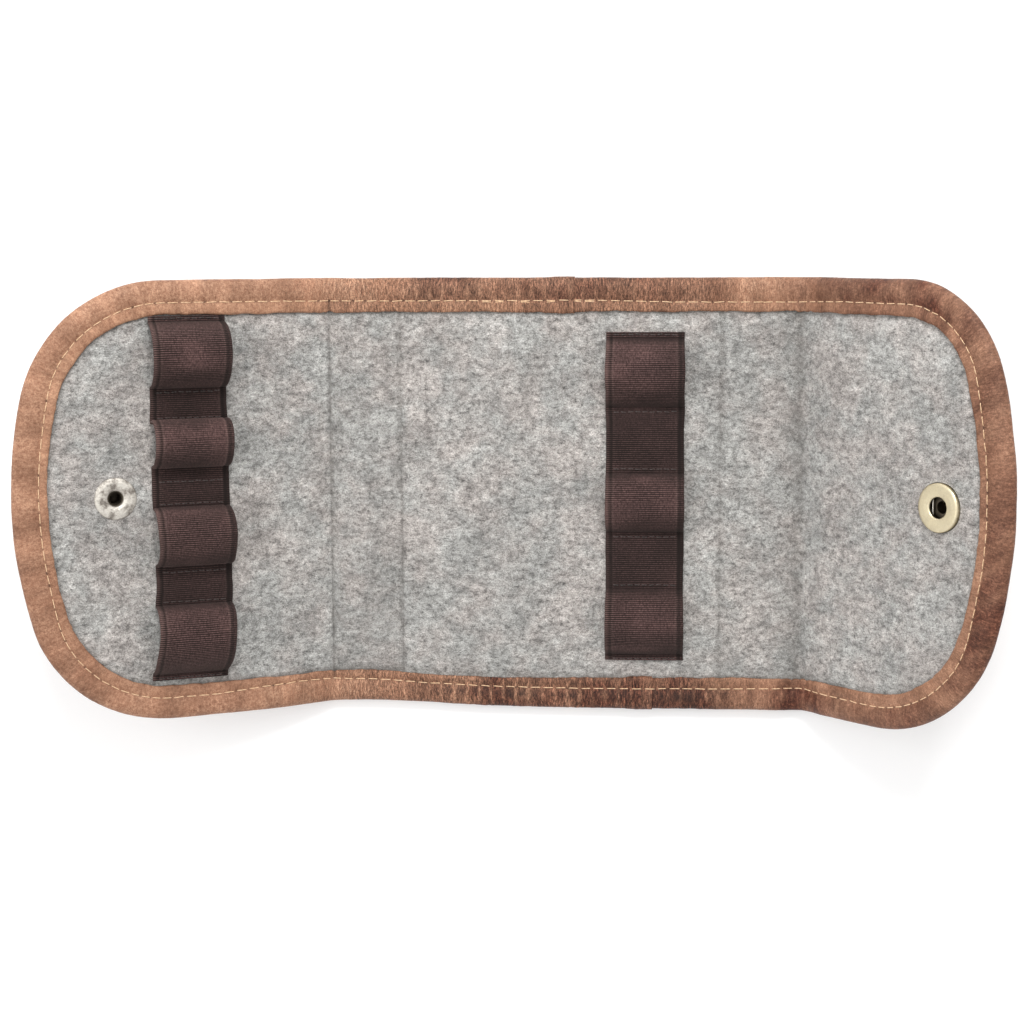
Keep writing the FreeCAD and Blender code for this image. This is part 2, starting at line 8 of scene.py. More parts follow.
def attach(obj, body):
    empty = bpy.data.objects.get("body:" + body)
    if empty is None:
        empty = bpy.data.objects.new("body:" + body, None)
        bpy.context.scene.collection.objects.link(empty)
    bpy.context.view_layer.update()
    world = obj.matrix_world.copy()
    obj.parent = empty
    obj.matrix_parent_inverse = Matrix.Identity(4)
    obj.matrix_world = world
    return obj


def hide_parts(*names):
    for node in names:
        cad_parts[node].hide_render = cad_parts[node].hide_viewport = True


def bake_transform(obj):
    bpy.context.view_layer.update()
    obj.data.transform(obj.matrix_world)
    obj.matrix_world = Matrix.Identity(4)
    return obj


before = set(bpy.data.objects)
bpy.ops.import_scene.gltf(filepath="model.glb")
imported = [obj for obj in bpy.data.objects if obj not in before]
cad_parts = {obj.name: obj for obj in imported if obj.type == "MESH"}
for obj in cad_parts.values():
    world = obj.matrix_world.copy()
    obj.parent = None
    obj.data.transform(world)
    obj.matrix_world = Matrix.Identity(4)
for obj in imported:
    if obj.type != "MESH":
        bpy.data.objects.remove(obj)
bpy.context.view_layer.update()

MM = 0.001

# The flat case in millimetres, as part.py lays it out: +X along it, +Z out of the felt.
HALF_WIDTH = 57.9
A2, B1 = -42.5, 42.5
A1, B2 = A2 - 19.4, B1 + 22.1
MID_LEFT, MID_RIGHT = (A1 + A2) / 2, (B1 + B2) / 2
LEFT_TIP, RIGHT_TIP = A1 - 85.0, B2 + 69.1
HINGE_Z = 1.5
LEFT_TILT, RIGHT_TILT = math.radians(24.7), math.radians(45.7)
# How far from a crease the sheets bend at rest, and a reach for when the case folds, which is looked up but
# not used.
REST_BEND = {"left": 5.0, "right": 9.0}
FOLD_BEND = {"A1": 8.0, "A2": 8.0, "B1": 8.0, "B2": 9.0}
BACK_JOINT, FRONT_JOINT = 3.9, 24.7
SNAP_Y = 1.7
STUD_X, SOCKET_X = A1 - 58.6, B2 + 47.6

# The sheets stop this far in from the case's edge, inside the binding's fold.
SHEET_INSET = 1.2
FELT_TOP, FELT_RIM, FELT_STEP = 4.0, 3.4, 0.65
LEATHER_UNDER, LEATHER_RIM, LEATHER_STEP = 0.35, 0.9, 1.1

BINDING_WIDTH = 9.0
BINDING_WALL = 0.7
# Where the fold's round part ends, and where the stitching lies, in from the edge.
FOLD_DEPTH, STITCH_INSET = 2.2, 6.3
STITCH_PITCH, STITCH_HALF = 3.4, 1.52
TOP_LEVEL, UNDER_LEVEL = 4.02, 0.14
THREAD_RADIUS, ROW_RADIUS, WIRE_RADIUS = 0.125, 0.15, 0.3

BAND_HALF = 0.42
RIB_PITCH = 0.54
SELVEDGE, HEM = 1.35, 1.4
ROW_PITCH = 1.9
FLOOR_Z = -0.0003


# Geometry helpers.


def smooth(t):
    """An even rise from nought to one as t goes from nought to one."""
    t = np.clip(t, 0, 1)
    return t * t * (3 - 2 * t)


def hump(t):
    """A bell curve: one at nought, and close to nought beyond two."""
    return np.exp(-t * t)


def noise(u, v, size, seed):
    """Smooth value noise between -1 and 1, with features about size millimetres across."""
    lattice = np.random.default_rng(seed).uniform(-1, 1, (128, 128))
    u, v = np.broadcast_arrays(u / size, v / size)
    i, j = np.floor(u).astype(int), np.floor(v).astype(int)
    s, t = smooth(u - i), smooth(v - j)
    low = lattice[i % 128, j % 128] * (1 - s) + lattice[(i + 1) % 128, j % 128] * s
    high = lattice[i % 128, (j + 1) % 128] * (1 - s) + lattice[(i + 1) % 128, (j + 1) % 128] * s
    return low * (1 - t) + high * t


def turn(x, z, pivot, angle):
    """Points turned about a crease at x = pivot."""
    c, s = np.cos(angle), np.sin(angle)
    across, up = x - pivot, z - HINGE_Z
    return pivot + c * across + s * up, HINGE_Z - s * across + c * up


def lay(points):
    """Points of the flat layout, pulled in at the left spine and folded to the rest pose."""
    x, y, z = np.asarray(points, float).T
    waist = 1.5 * hump((x + 50) / 26)
    y = y + waist * smooth((-18 - y) / 40)
    bend = REST_BEND["left"]
    x_left, z_left = turn(x, z, A1, LEFT_TILT * smooth((A1 + bend - x) / (2 * bend)))
    bend = REST_BEND["right"]
    x_right, z_right = turn(x, z, B2, -RIGHT_TILT * smooth((x - B2 + bend) / (2 * bend)))
    z_right = z_right + 0.5 * hump((x - B2 + 4.5) / 4)
    left = x < 0
    return np.stack([np.where(left, x_left, x_right), y, np.where(left, z_left, z_right)], 1)


def add_object(name, data):
    thing = bpy.data.objects.new(name, data)
    bpy.context.scene.collection.objects.link(thing)
    return thing


def mesh_object(name, points, faces, material, **attributes):
    """A smooth mesh from flat-layout points; attributes are kept on its vertices."""
    mesh = bpy.data.meshes.new(name)
    mesh.from_pydata((lay(points) * MM).tolist(), [], [list(map(int, face)) for face in faces])
    mesh.shade_smooth()
    mesh.set_sharp_from_angle(angle=math.radians(55))
    attributes["flat"] = points
    for key, values in attributes.items():
        values = np.asarray(values, float)
        kind = "FLOAT_VECTOR" if values.ndim == 2 else "FLOAT"
        layer = mesh.attributes.new(key, kind, "POINT")
        layer.data.foreach_set("vector" if values.ndim == 2 else "value", values.ravel())
    mesh.materials.append(material)
    return add_object(name, mesh)


def grid_faces(rows, columns, wrap_rows=False, wrap_columns=False):
    """Quads of a grid of vertices numbered row by row; a wrap joins its last line to its first."""
    i = np.arange(rows if wrap_rows else rows - 1)[:, None]
    j = np.arange(columns if wrap_columns else columns - 1)[None, :]
    next_i, next_j = (i + 1) % rows, (j + 1) % columns
    quad = (i * columns + j, next_i * columns + j, next_i * columns + next_j, i * columns + next_j)
    return np.stack([c.ravel() for c in np.broadcast_arrays(*quad)], 1)


def shell_faces(faces, count):
    """Close a sheet of faces with a second sheet, count vertices further on, and walls."""
    edges = np.stack([faces, np.roll(faces, -1, 1)], 2).reshape(-1, 2)
    keys = np.sort(edges, 1)
    _, first, uses = np.unique(keys[:, 0] * count + keys[:, 1], return_index=True, return_counts=True)
    rim = edges[first[uses == 1]]
    walls = np.stack([rim[:, 0], rim[:, 0] + count, rim[:, 1] + count, rim[:, 1]], 1)
    return np.concatenate([faces, faces[:, ::-1] + count, walls])


def shell_object(name, layers, faces, material, **attributes):
    """A closed sheet from its two layers of points; attributes are given for one layer."""
    count = len(layers[0])
    attributes = {key: np.concatenate([values, values]) for key, values in attributes.items()}
    return mesh_object(name, np.concatenate(layers), shell_faces(faces, count), material, **attributes)


def vectors(*parts):
    """Grids of numbers, joined into one list of vectors."""
    return np.stack(np.broadcast_arrays(*parts), 2).reshape(-1, 3)


# The outline.


def corner(end_x, end_y, end_radius, radius, y, side):
    """Centre of a corner arc inside the end arc, and the angle at which the two meet."""
    rise = y - end_y
    x = end_x + side * math.sqrt((end_radius - radius) ** 2 - rise ** 2)
    return x, math.atan2(rise, x - end_x)


class Outline:
    """The flat outline, anticlockwise from the right end of the back edge."""

    def __init__(self):
        left_r, left_y, left_back, left_front = 121.5, 1.25, 38.0, 37.0
        right_r, right_y, right_back, right_front = 113.4, 3.25, 30.4, 39.25
        left_x, right_x = LEFT_TIP + left_r, RIGHT_TIP - right_r
        turn_back, turn_front = HALF_WIDTH - np.array([left_back, left_front])
        lb_x, lb_turn = corner(left_x, left_y, left_r, left_back, turn_back, -1)
        lf_x, lf_turn = corner(left_x, left_y, left_r, left_front, -turn_front, -1)
        rb_x, rb_turn = corner(right_x, right_y, right_r, right_back, HALF_WIDTH - right_back, 1)
        rf_x, rf_turn = corner(right_x, right_y, right_r, right_front, right_front - HALF_WIDTH, 1)
        lf_turn += 2 * math.pi
        quarter = math.pi / 2
        self.back_start, self.front_start = rb_x, lf_x
        # (centre x, centre y, radius, start angle, end angle), or a line's start and length
        self.runs = (
            (rb_x, HALF_WIDTH, 0, rb_x - lb_x, -1),
            (lb_x, HALF_WIDTH - left_back, left_back, quarter, lb_turn),
            (left_x, left_y, left_r, lb_turn, lf_turn),
            (lf_x, left_front - HALF_WIDTH, left_front, lf_turn, 3 * quarter),
            (lf_x, -HALF_WIDTH, 0, rf_x - lf_x, 1),
            (rf_x, right_front - HALF_WIDTH, right_front, -quarter, rf_turn),
            (right_x, right_y, right_r, rf_turn, rb_turn),
            (rb_x, HALF_WIDTH - right_back, right_back, rb_turn, quarter),
        )
        lengths = [run[3] if not run[2] else run[2] * (run[4] - run[3]) for run in self.runs]
        self.starts = np.concatenate([[0], np.cumsum(lengths)])
        self.length = self.starts[-1]

    def at(self, s):
        """Points and inward normals at distances s along the outline."""
        s = np.mod(s, self.length)
        points, normals = np.zeros((len(s), 2)), np.zeros((len(s), 2))
        which = np.clip(np.searchsorted(self.starts, s, "right") - 1, 0, 7)
        for index, (x, y, radius, start, end) in enumerate(self.runs):
            mine = which == index
            along = s[mine] - self.starts[index]
            if radius:
                angle = start + along / radius
                out = np.stack([np.cos(angle), np.sin(angle)], 1)
                points[mine], normals[mine] = (x, y) + radius * out, -out
            else:
                points[mine] = np.stack([x + end * along, np.full_like(along, y)], 1)
                normals[mine] = (0, end)
        return points, normals

    def back(self, x):
        """Distance along the outline of the back edge's point at x."""
        return self.back_start - x

    def front(self, x):
        """Distance along the outline of the front edge's point at x."""
        return self.starts[4] + x - self.front_start

    def inset(self, x, y):
        """Distance in from the outline of points inside it."""
        depth = HALF_WIDTH - np.abs(y)
        left_arc, right_arc = (np.array(self.runs[index][:3])[:, None] for index in (2, 6))
        cx, cy, radius = np.where(x[None] < 0, left_arc, right_arc)
        depth = np.minimum(depth, radius - np.hypot(x - cx, y - cy))
        for index in (1, 3, 5, 7):
            cx, cy, radius, start, end = self.runs[index]
            angle = np.mod(np.arctan2(y - cy, x - cx) - start, 2 * math.pi)
            near = radius - np.hypot(x - cx, y - cy)
            depth = np.where(angle <= end - start, np.minimum(depth, near), depth)
        return depth

    def span(self, x, inset):
        """The lowest and highest y at each x, a given distance in from the outline."""
        s = np.linspace(0, self.length, 6000)
        points, normals = self.at(s)
        ring = points + normals * inset
        back, front = ring[ring[:, 1] > 0], ring[ring[:, 1] <= 0]
        back, front = back[np.argsort(back[:, 0])], front[np.argsort(front[:, 0])]
        return np.interp(x, front[:, 0], front[:, 1]), np.interp(x, back[:, 0], back[:, 1])


OUTLINE = Outline()


def blend_piece(piece, crease):
    """Bake a piece's transform into its mesh; the crease's two bodies and bend reach are looked up but not
    used.
    """
    flat_x, bodies = {
        "A1": (A1, ("left_spine", "left_flap")),
        "A2": (A2, ("middle", "left_spine")),
        "B1": (B1, ("middle", "right_spine")),
        "B2": (B2, ("right_spine", "right_flap")),
    }[crease]
    side = -1 if flat_x < 0 else 1
    reach = FOLD_BEND[crease]
    ends = lay([[flat_x - side * reach, 0, HINGE_Z], [flat_x + side * reach, 0, HINGE_Z]]) * MM
    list(bodies)
    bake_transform(piece)


# Materials.


class Graph:
    """Short names for the shader nodes of one material."""

    def __init__(self, name):
        self.material = bpy.data.materials.new(name)
        self.material.use_nodes = True
        self.nodes = self.material.node_tree.nodes
        self.links = self.material.node_tree.links
        self.shader = self.nodes["Principled BSDF"]

    def add(self, kind, inputs=None, **properties):
        node = self.nodes.new(kind)
        for key, value in properties.items():
            setattr(node, key, value)
        for key, value in (inputs or {}).items():
            self.feed(node.inputs[key], value)
        return node

    def feed(self, socket, value):
        if isinstance(value, bpy.types.NodeSocket):
            self.links.new(value, socket)
        else:
            socket.default_value = value

    def attribute(self, name, output="Vector"):
        return self.add("ShaderNodeAttribute", attribute_name=name).outputs[output]

    def place(self, source, scale):
        """A surface vector, stretched by features per millimetre along each direction."""
        return self.add("ShaderNodeMapping", {"Vector": source, "Scale": scale}).outputs[0]

    def noise(self, source, scale=1.0, detail=4.0, rough=0.6, distortion=0.0):
        inputs = {"Vector": source, "Scale": scale, "Detail": detail, "Roughness": rough}
        inputs["Distortion"] = distortion
        return self.add("ShaderNodeTexNoise", inputs).outputs["Fac"]

    def ramp(self, value, *stops):
        """A colour ramp through (position, brightness or colour) stops."""
        node = self.add("ShaderNodeValToRGB", {"Fac": value})
        elements = node.color_ramp.elements
        while len(elements) < len(stops):
            elements.new(0.5)
        for element, (position, colour) in zip(elements, stops):
            element.position = position
            colour = (colour,) * 3 if isinstance(colour, (int, float)) else colour
            element.color = (*colour, 1)
        return node.outputs["Color"]

    def maths(self, operation, *values):
        return self.add("ShaderNodeMath", dict(enumerate(values)), operation=operation).outputs[0]

    def plus(self, a, b):
        return self.maths("ADD", a, b)

    def times(self, a, b):
        return self.maths("MULTIPLY", a, b)

    def mix(self, factor, low, high, blend="MIX"):
        node = self.add("ShaderNodeMix", data_type="RGBA", blend_type=blend)
        for index, value in ((0, factor), (6, low), (7, high)):
            if isinstance(value, tuple) and len(value) == 3:
                value = (*value, 1)
            self.feed(node.inputs[index], value)
        return node.outputs[2]

    def multiply(self, share, colour, value, *stops):
        """A colour multiplied, in part, by a ramp over value."""
        return self.mix(share, colour, self.ramp(value, *stops), "MULTIPLY")

    def bump(self, height, distance, strength):
        inputs = {"Height": height, "Distance": distance, "Strength": strength}
        return self.add("ShaderNodeBump", inputs).outputs[0]

    def finish(self, **sockets):
        for key, value in sockets.items():
            self.feed(self.shader.inputs[key.replace("_", " ")], value)
        return self.material


def felt_material():
    g = Graph("felt")
    flat = g.attribute("flat")
    blotch = g.noise(flat, 0.065, 4, 0.6)
    tuft = g.noise(g.place(flat, (0.9, 1.2, 1.0)), 0.3, 3, 0.6)
    tint = g.noise(flat, 0.11, 3, 0.5)
    fleck = g.noise(g.place(flat, (0.85, 1.1, 1.0)), 0.75, 6, 0.8)
    fibre = g.noise(g.place(flat, (1.0, 1.8, 1.0)), 1.5, 3, 0.75, 0.3)
    grain = g.noise(flat, 3.2, 2, 0.6)
    grey = g.ramp(fleck, (0.36, (0.21, 0.2, 0.19)), (0.47, (0.5, 0.475, 0.445)), (0.60, (0.74, 0.71, 0.675)))
    grey = g.multiply(0.7, grey, fibre, (0.3, 0.5), (0.6, 1.0))
    grey = g.multiply(0.95, grey, grain, (0.32, 0.5), (0.64, 1.05))
    grey = g.multiply(0.8, grey, blotch, (0.34, 0.74), (0.62, 1.02))
    grey = g.multiply(1.0, grey, tuft, (0.33, 0.72), (0.66, 1.2))
    grey = g.multiply(1.0, grey, tint, (0.38, (0.97, 1.0, 1.01)), (0.62, (1.02, 0.985, 0.98)))
    shade = g.attribute("shade", "Fac")
    grey = g.mix(shade, grey, (0.10, 0.09, 0.08))
    height = g.plus(fleck, g.times(g.plus(fibre, grain), 0.5))
    return g.finish(
        Base_Color=grey, Roughness=0.95, Sheen_Weight=0.2, Sheen_Roughness=0.6,
        Specular_IOR_Level=0.1, Normal=g.bump(height, 0.35 * MM, 0.9),
    )


def binding_material():
    g = Graph("binding_leather")
    flat = g.attribute("flat")
    strip = g.attribute("strip")
    streaky = g.add("ShaderNodeSeparateXYZ", {0: strip}).outputs["Z"]
    # X is the stain, with painted highlights on the ridges, Y painted shade and the oiled patch, Z the
    # brighter leather inside the stitching
    tone = g.add("ShaderNodeSeparateXYZ", {0: g.attribute("tone")}).outputs
    streak = g.noise(g.place(strip, (2.3, 0.42, 0.0)), 1.0, 5, 0.72, 0.8)
    suede = g.noise(flat, 1.1, 5, 0.78, 0.2)
    grain = g.plus(suede, g.times(streaky, g.maths("SUBTRACT", streak, suede)))
    cloud = g.noise(flat, 0.13, 4, 0.55)
    pore = g.noise(flat, 3.2, 3, 0.75)
    nick = g.noise(g.place(strip, (3.4, 0.8, 0.0)), 1.0, 3, 0.75, 0.5)
    drift = g.noise(g.place(strip, (0.16, 0.05, 0.0)), 1.0, 3, 0.5)
    tan = g.ramp(
        grain, (0.36, (0.215, 0.094, 0.054)), (0.50, (0.418, 0.226, 0.141)), (0.64, (0.64, 0.383, 0.25)),
    )
    tan = g.mix(g.ramp(cloud, (0.38, 0.0), (0.66, 0.5)), tan, (0.29, 0.138, 0.082))
    calm = g.maths("MULTIPLY_ADD", streaky, 0.65, 0.35)
    depth = g.maths("MULTIPLY_ADD", g.maths("SUBTRACT", grain, 0.5), calm, 0.5)
    stained = g.ramp(
        depth, (0.40, (0.028, 0.0085, 0.0047)), (0.50, (0.092, 0.0295, 0.017)), (0.62, (0.33, 0.131, 0.077)),
    )
    # less stain on the ridges between the stitches paints a highlight there
    tan = g.mix(tone["X"], tan, stained)
    flange = g.ramp(grain, (0.34, (0.26, 0.120, 0.068)), (0.64, (0.57, 0.325, 0.200)))
    tan = g.mix(tone["Z"], tan, flange)
    # painted shade in the needle holes, the stitches' hollows and the A1 crease, with the oiled patch past
    # the front joint
    tan = g.mix(tone["Y"], tan, (0.045, 0.022, 0.015))
    tan = g.multiply(1.0, tan, drift, (0.34, (0.76, 0.73, 0.71)), (0.66, (1.22, 1.21, 1.2)))
    fine = g.plus(0.2, g.times(streaky, 0.6))
    tan = g.multiply(fine, tan, pore, (0.36, 0.35), (0.58, 1.15))
    wear_and_shade = g.times(g.times(streaky, streaky), 0.9)
    tan = g.multiply(wear_and_shade, tan, nick, (0.38, 0.28), (0.58, 1.32))
    height = g.times(g.plus(grain, nick), 0.9)
    height = g.plus(height, g.times(pore, 0.5))
    rough = g.ramp(cloud, (0.3, 0.5), (0.7, 0.7))
    return g.finish(
        Base_Color=tan, Roughness=rough, Specular_IOR_Level=0.25, Normal=g.bump(height, 0.12 * MM, 0.8),
    )


def shell_material():
    g = Graph("leather_shell")
    flat = g.attribute("flat")
    cloud = g.noise(flat, 0.03, 5)
    cell = g.add("ShaderNodeTexVoronoi", {"Vector": flat, "Scale": 1.1}, feature="SMOOTH_F1")
    pore = g.noise(flat, 2.2, 4, 0.7)
    brown = g.ramp(
        cloud, (0.32, (0.075, 0.035, 0.02)), (0.5, (0.135, 0.066, 0.036)), (0.7, (0.21, 0.11, 0.06)),
    )
    brown = g.multiply(0.5, brown, pore, (0.35, 0.6), (0.6, 1.0))
    brown = g.mix(g.attribute("shade", "Fac"), brown, (0.30, 0.17, 0.10))
    height = g.plus(cell.outputs["Distance"], g.times(pore, 0.5))
    return g.finish(
        Base_Color=brown, Roughness=g.ramp(cloud, (0.3, 0.5), (0.7, 0.66)),
        Specular_IOR_Level=0.4, Normal=g.bump(height, 0.16 * MM, 0.7),
    )


def elastic_material():
    g = Graph("elastic")
    strip = g.attribute("strip")
    tone = g.attribute("shade", "Fac")
    cord = g.noise(g.place(strip, (1.2, 2.2, 1.0)), 1.0, 4, 0.75)
    wear_and_shade = g.noise(g.place(strip, (0.25, 0.35, 1.0)), 1.0, 3)
    pale = g.add("ShaderNodeSeparateXYZ", {0: strip}).outputs["Z"]
    brown = g.ramp(cord, (0.34, (0.030, 0.014, 0.013)), (0.63, (0.192, 0.107, 0.099)))
    brown = g.multiply(0.6, brown, wear_and_shade, (0.35, 0.7), (0.65, 1.05))
    # pale adds a painted highlight along the left selvedge and a paler line inside each groove
    brown = g.mix(pale, brown, (0.22, 0.135, 0.12))
    # painted shade from the mesh
    brown = g.mix(tone, brown, (0.010, 0.006, 0.005))
    return g.finish(
        Base_Color=brown, Roughness=0.85, Sheen_Weight=0.15, Sheen_Roughness=0.5,
        Sheen_Tint=(0.75, 0.6, 0.55, 1), Specular_IOR_Level=0.2, Normal=g.bump(cord, 0.12 * MM, 0.8),
    )


def thread_material(name, dark, light):
    g = Graph(name)
    flat = g.attribute("flat")
    strip = g.attribute("strip")
    ply = g.add("ShaderNodeTexWave", {"Vector": strip, "Scale": 0.9}, bands_direction="DIAGONAL")
    wear = g.noise(flat, 0.5, 3)
    colour = g.mix(wear, dark, light)
    colour = g.multiply(0.4, colour, ply.outputs["Fac"], (0.1, 0.55), (0.6, 1.0))
    return g.finish(
        Base_Color=colour, Roughness=0.55, Sheen_Weight=0.2,
        Normal=g.bump(ply.outputs["Fac"], 0.08 * MM, 0.7),
    )


def metal_material(name, bright, dull, patina, rough):
    g = Graph(name)
    flat = g.attribute("flat")
    cloud = g.noise(flat, 0.45, 5, 0.6)
    spot = g.noise(flat, 2.3, 4, 0.7)
    tarnish = g.times(g.ramp(cloud, (0.43, 0.0), (0.63, 1.0)), patina)
    colour = g.mix(g.ramp(spot, (0.4, 0.0), (0.75, 0.5)), bright, dull)
    colour = g.mix(tarnish, colour, (0.22, 0.19, 0.165))
    # painted shade inside the snap's hollows
    colour = g.mix(g.attribute("shade", "Fac"), colour, (0.12, 0.10, 0.075))
    roughness = g.plus(g.times(tarnish, 0.3), g.times(spot, rough))
    return g.finish(
        Base_Color=colour, Metallic=1.0, Roughness=roughness, Normal=g.bump(spot, 0.03 * MM, 0.5),
    )


MATERIALS = {
    "felt": felt_material(),
    "binding": binding_material(),
    "shell": shell_material(),
    "elastic": elastic_material(),
    "seam": thread_material("seam_thread", (0.70, 0.42, 0.22), (0.95, 0.68, 0.44)),
    "row": thread_material("band_thread", (0.026, 0.015, 0.013), (0.066, 0.042, 0.036)),
    "nickel": metal_material("nickel", (0.80, 0.76, 0.69), (0.50, 0.45, 0.40), 0.8, 1.1),
    "brass": metal_material("brass", (0.80, 0.71, 0.50), (0.68, 0.58, 0.39), 0.12, 0.9),
    "steel": metal_material("spring_steel", (0.62, 0.58, 0.52), (0.40, 0.36, 0.31), 0.3, 0.4),
}


# Felt and leather sheets.

# Where each piece of a sheet starts and ends in x, the crease it spans, and the panels it covers.
SHEETS = {
    "left_flap": (LEFT_TIP + SHEET_INSET + 0.3, MID_LEFT, "A1", ("left_flap",)),
    "middle_left": (MID_LEFT, 0.0, "A2", ("left_spine", "middle")),
    "middle_right": (0.0, MID_RIGHT, "B1", ("right_spine",)),
    "right_flap": (MID_RIGHT, RIGHT_TIP - SHEET_INSET - 0.3, "B2", ("right_flap",)),
}


# Holes for the snap: the middle in x, the cells left out on each side of it, the radius, and how
# many cells away the grid gives way.
FELT_HOLES = {"left_flap": (STUD_X, 2, 2.7, 9), "right_flap": (SOCKET_X, 8, 6.5, 16)}
LEATHER_HOLES = {"left_flap": (STUD_X, 1, 2.7, 5), "right_flap": (SOCKET_X, 1, 2.7, 5)}


def pierce(x, y, centre_x, block, radius, reach):
    """Open a round hole in a grid: move the points near it and return the block inside."""
    centre_i = np.abs(x[:, 0] - centre_x).argmin()
    centre_j = np.abs(y[centre_i] - SNAP_Y).argmin()
    i = np.arange(x.shape[0])[:, None] - centre_i
    j = np.arange(x.shape[1])[None, :] - centre_j
    ring = np.maximum(np.abs(i), np.abs(j))
    pull = np.clip((reach - ring) / (reach - block), 0, 1)
    middle_x, middle_y = x[centre_i, centre_j], y[centre_i, centre_j]
    away_x, away_y = x - middle_x, y - middle_y
    distance = np.maximum(np.hypot(away_x, away_y), 1e-6)
    near = ring <= reach
    stretch = (1 - pull) + pull * radius / distance
    x[near] = (centre_x + away_x * stretch + (middle_x - centre_x) * (1 - pull))[near]
    y[near] = (SNAP_Y + away_y * stretch + (middle_y - SNAP_Y) * (1 - pull))[near]
    i, j = i[:-1], j[:, :-1]
    return (-block <= i) & (i < block) & (-block <= j) & (j < block)


def sheet_grid(panel, step, holes):
    """Flat x and y of one sheet's points, and its faces, with its hole left out."""
    start, end = SHEETS[panel][:2]
    columns = int(round((end - start) / step)) + 1
    rows = int(round(2 * (HALF_WIDTH - SHEET_INSET) / step)) + 1
    x = np.linspace(start, end, columns)
    low, high = OUTLINE.span(x, SHEET_INSET)
    y = low[:, None] + (high - low)[:, None] * np.linspace(0, 1, rows)[None, :]
    x = np.repeat(x[:, None], rows, 1)
    faces = grid_faces(columns, rows)
    if panel in holes:
        faces = faces[~pierce(x, y, *holes[panel]).ravel()]
    return x.ravel(), y.ravel(), faces


# Each crease in the felt: its x, its share of a full crease's depth, and its half width.
FELT_CREASES = ((A1, 0.68, 0.5), (A2, 0.7, 0.5), (B1, 0.55, 0.5), (B2, 0.4, 1.6))
FULL_CREASE = 0.75


def crease_depth(x, y):
    """How far the felt is pressed in along each crease, as a share of its full depth."""
    depth = 0
    for place, share, width in FELT_CREASES:
        wander = 0.25 * noise(y, place, 14, 3) + 0.08 * noise(y, place, 3, 4)
        depth += share * hump((x - place - wander) / width)
    return depth


def make_felt(panel):
    x, y, faces = sheet_grid(panel, FELT_STEP, FELT_HOLES)
    depth = OUTLINE.inset(x, y)
    inside = smooth((depth - BINDING_WIDTH + 0.4) / 4.5)
    swell = 0.10 * noise(x, y, 22, 5) + 0.07 * noise(x, y, 7, 6) + 0.05 * noise(x, y, 2.2, 7)
    swell += 0.3 * hump((x - B2 - 3) / 13) * noise(x, 0.12 * y, 4.5, 9)
    fuzz = 0.045 * noise(x, y, 0.9, 8)
    crease = crease_depth(x, y)
    top = FELT_RIM + (FELT_TOP - FELT_RIM) * inside + (swell + fuzz) * inside - FULL_CREASE * crease * inside
    layers = [np.stack([x, y, z], 1) for z in (top, np.full_like(x, HINGE_Z))]
    # the felt is darker over the two spines, in streaks along them, with painted shade along A1 and in the
    # soft fold by B2
    wear_and_shade = smooth((x - A1 + 2) / 3) * smooth((A2 + 2 - x) / 3)
    wear_and_shade += smooth((x - B1 + 2) / 3) * smooth((B2 + 4 - x) / 6)
    bands = 0.5 + 0.5 * noise(x, 0.1 * y, 5, 10)
    bands += 0.3 * hump((x - A1 - 1) / 2.5) + 0.7 * hump((x - B2 + 1.5) / 3)
    # painted shade in the creases, a painted shadow along the binding's inner edge, and the darker spines
    shade = 0.6 * np.clip(crease, 0, 1) + 0.35 * hump((depth - BINDING_WIDTH) / 0.9) + 0.2 * wear_and_shade * bands
    return shell_object("felt_" + panel, layers, faces, MATERIALS["felt"], shade=shade)


def make_leather(panel):
    x, y, faces = sheet_grid(panel, LEATHER_STEP, LEATHER_HOLES)
    depth = OUTLINE.inset(x, y)
    inside = smooth((depth - BINDING_WIDTH + 0.6) / 1.4)
    ripple = 0
    for place in (A1, A2, B1, B2):
        ripple += hump((x - place) / 7) * 0.14 * noise(x, y * 0.12, 2.1, 11)
    swell = 0.12 * noise(x, y, 30, 12) + 0.05 * noise(x, y, 8, 13)
    under = LEATHER_RIM + (LEATHER_UNDER - LEATHER_RIM) * inside - np.minimum(swell + ripple, 0.3) * inside
    layers = [np.stack([x, y, z], 1) for z in (np.full_like(x, HINGE_Z), under)]
    shade = np.clip(0.3 * np.abs(ripple) / 0.1, 0, 0.6)
    return shell_object("leather_" + panel, layers, faces, MATERIALS["shell"], shade=shade)


# Binding and its seam.

# Outer surface of the folded strip, from its lower edge round the fold to its upper edge:
# distance in from the outline, and height.
BINDING_PROFILE = (
    (9.0, 0.60), (8.9, 0.18), (8.45, 0.0), (7.4, 0.02), (6.3, 0.14), (5.2, 0.02), (3.6, 0.0), (2.2, 0.08),
    (0.95, 0.62), (0.2, 1.45), (0.0, 2.3), (0.3, 3.2), (1.1, 3.95), (2.3, 4.38), (3.6, 4.5), (5.0, 4.36),
    (5.8, 4.14), (6.3, 4.02), (6.9, 4.16), (7.7, 4.30), (8.4, 4.28), (8.9, 4.08), (9.0, 3.62),
)


def travelled(path):
    """Distance along a path at each of its points."""
    return np.concatenate([[0], np.cumsum(np.linalg.norm(np.diff(path, axis=0), axis=1))])


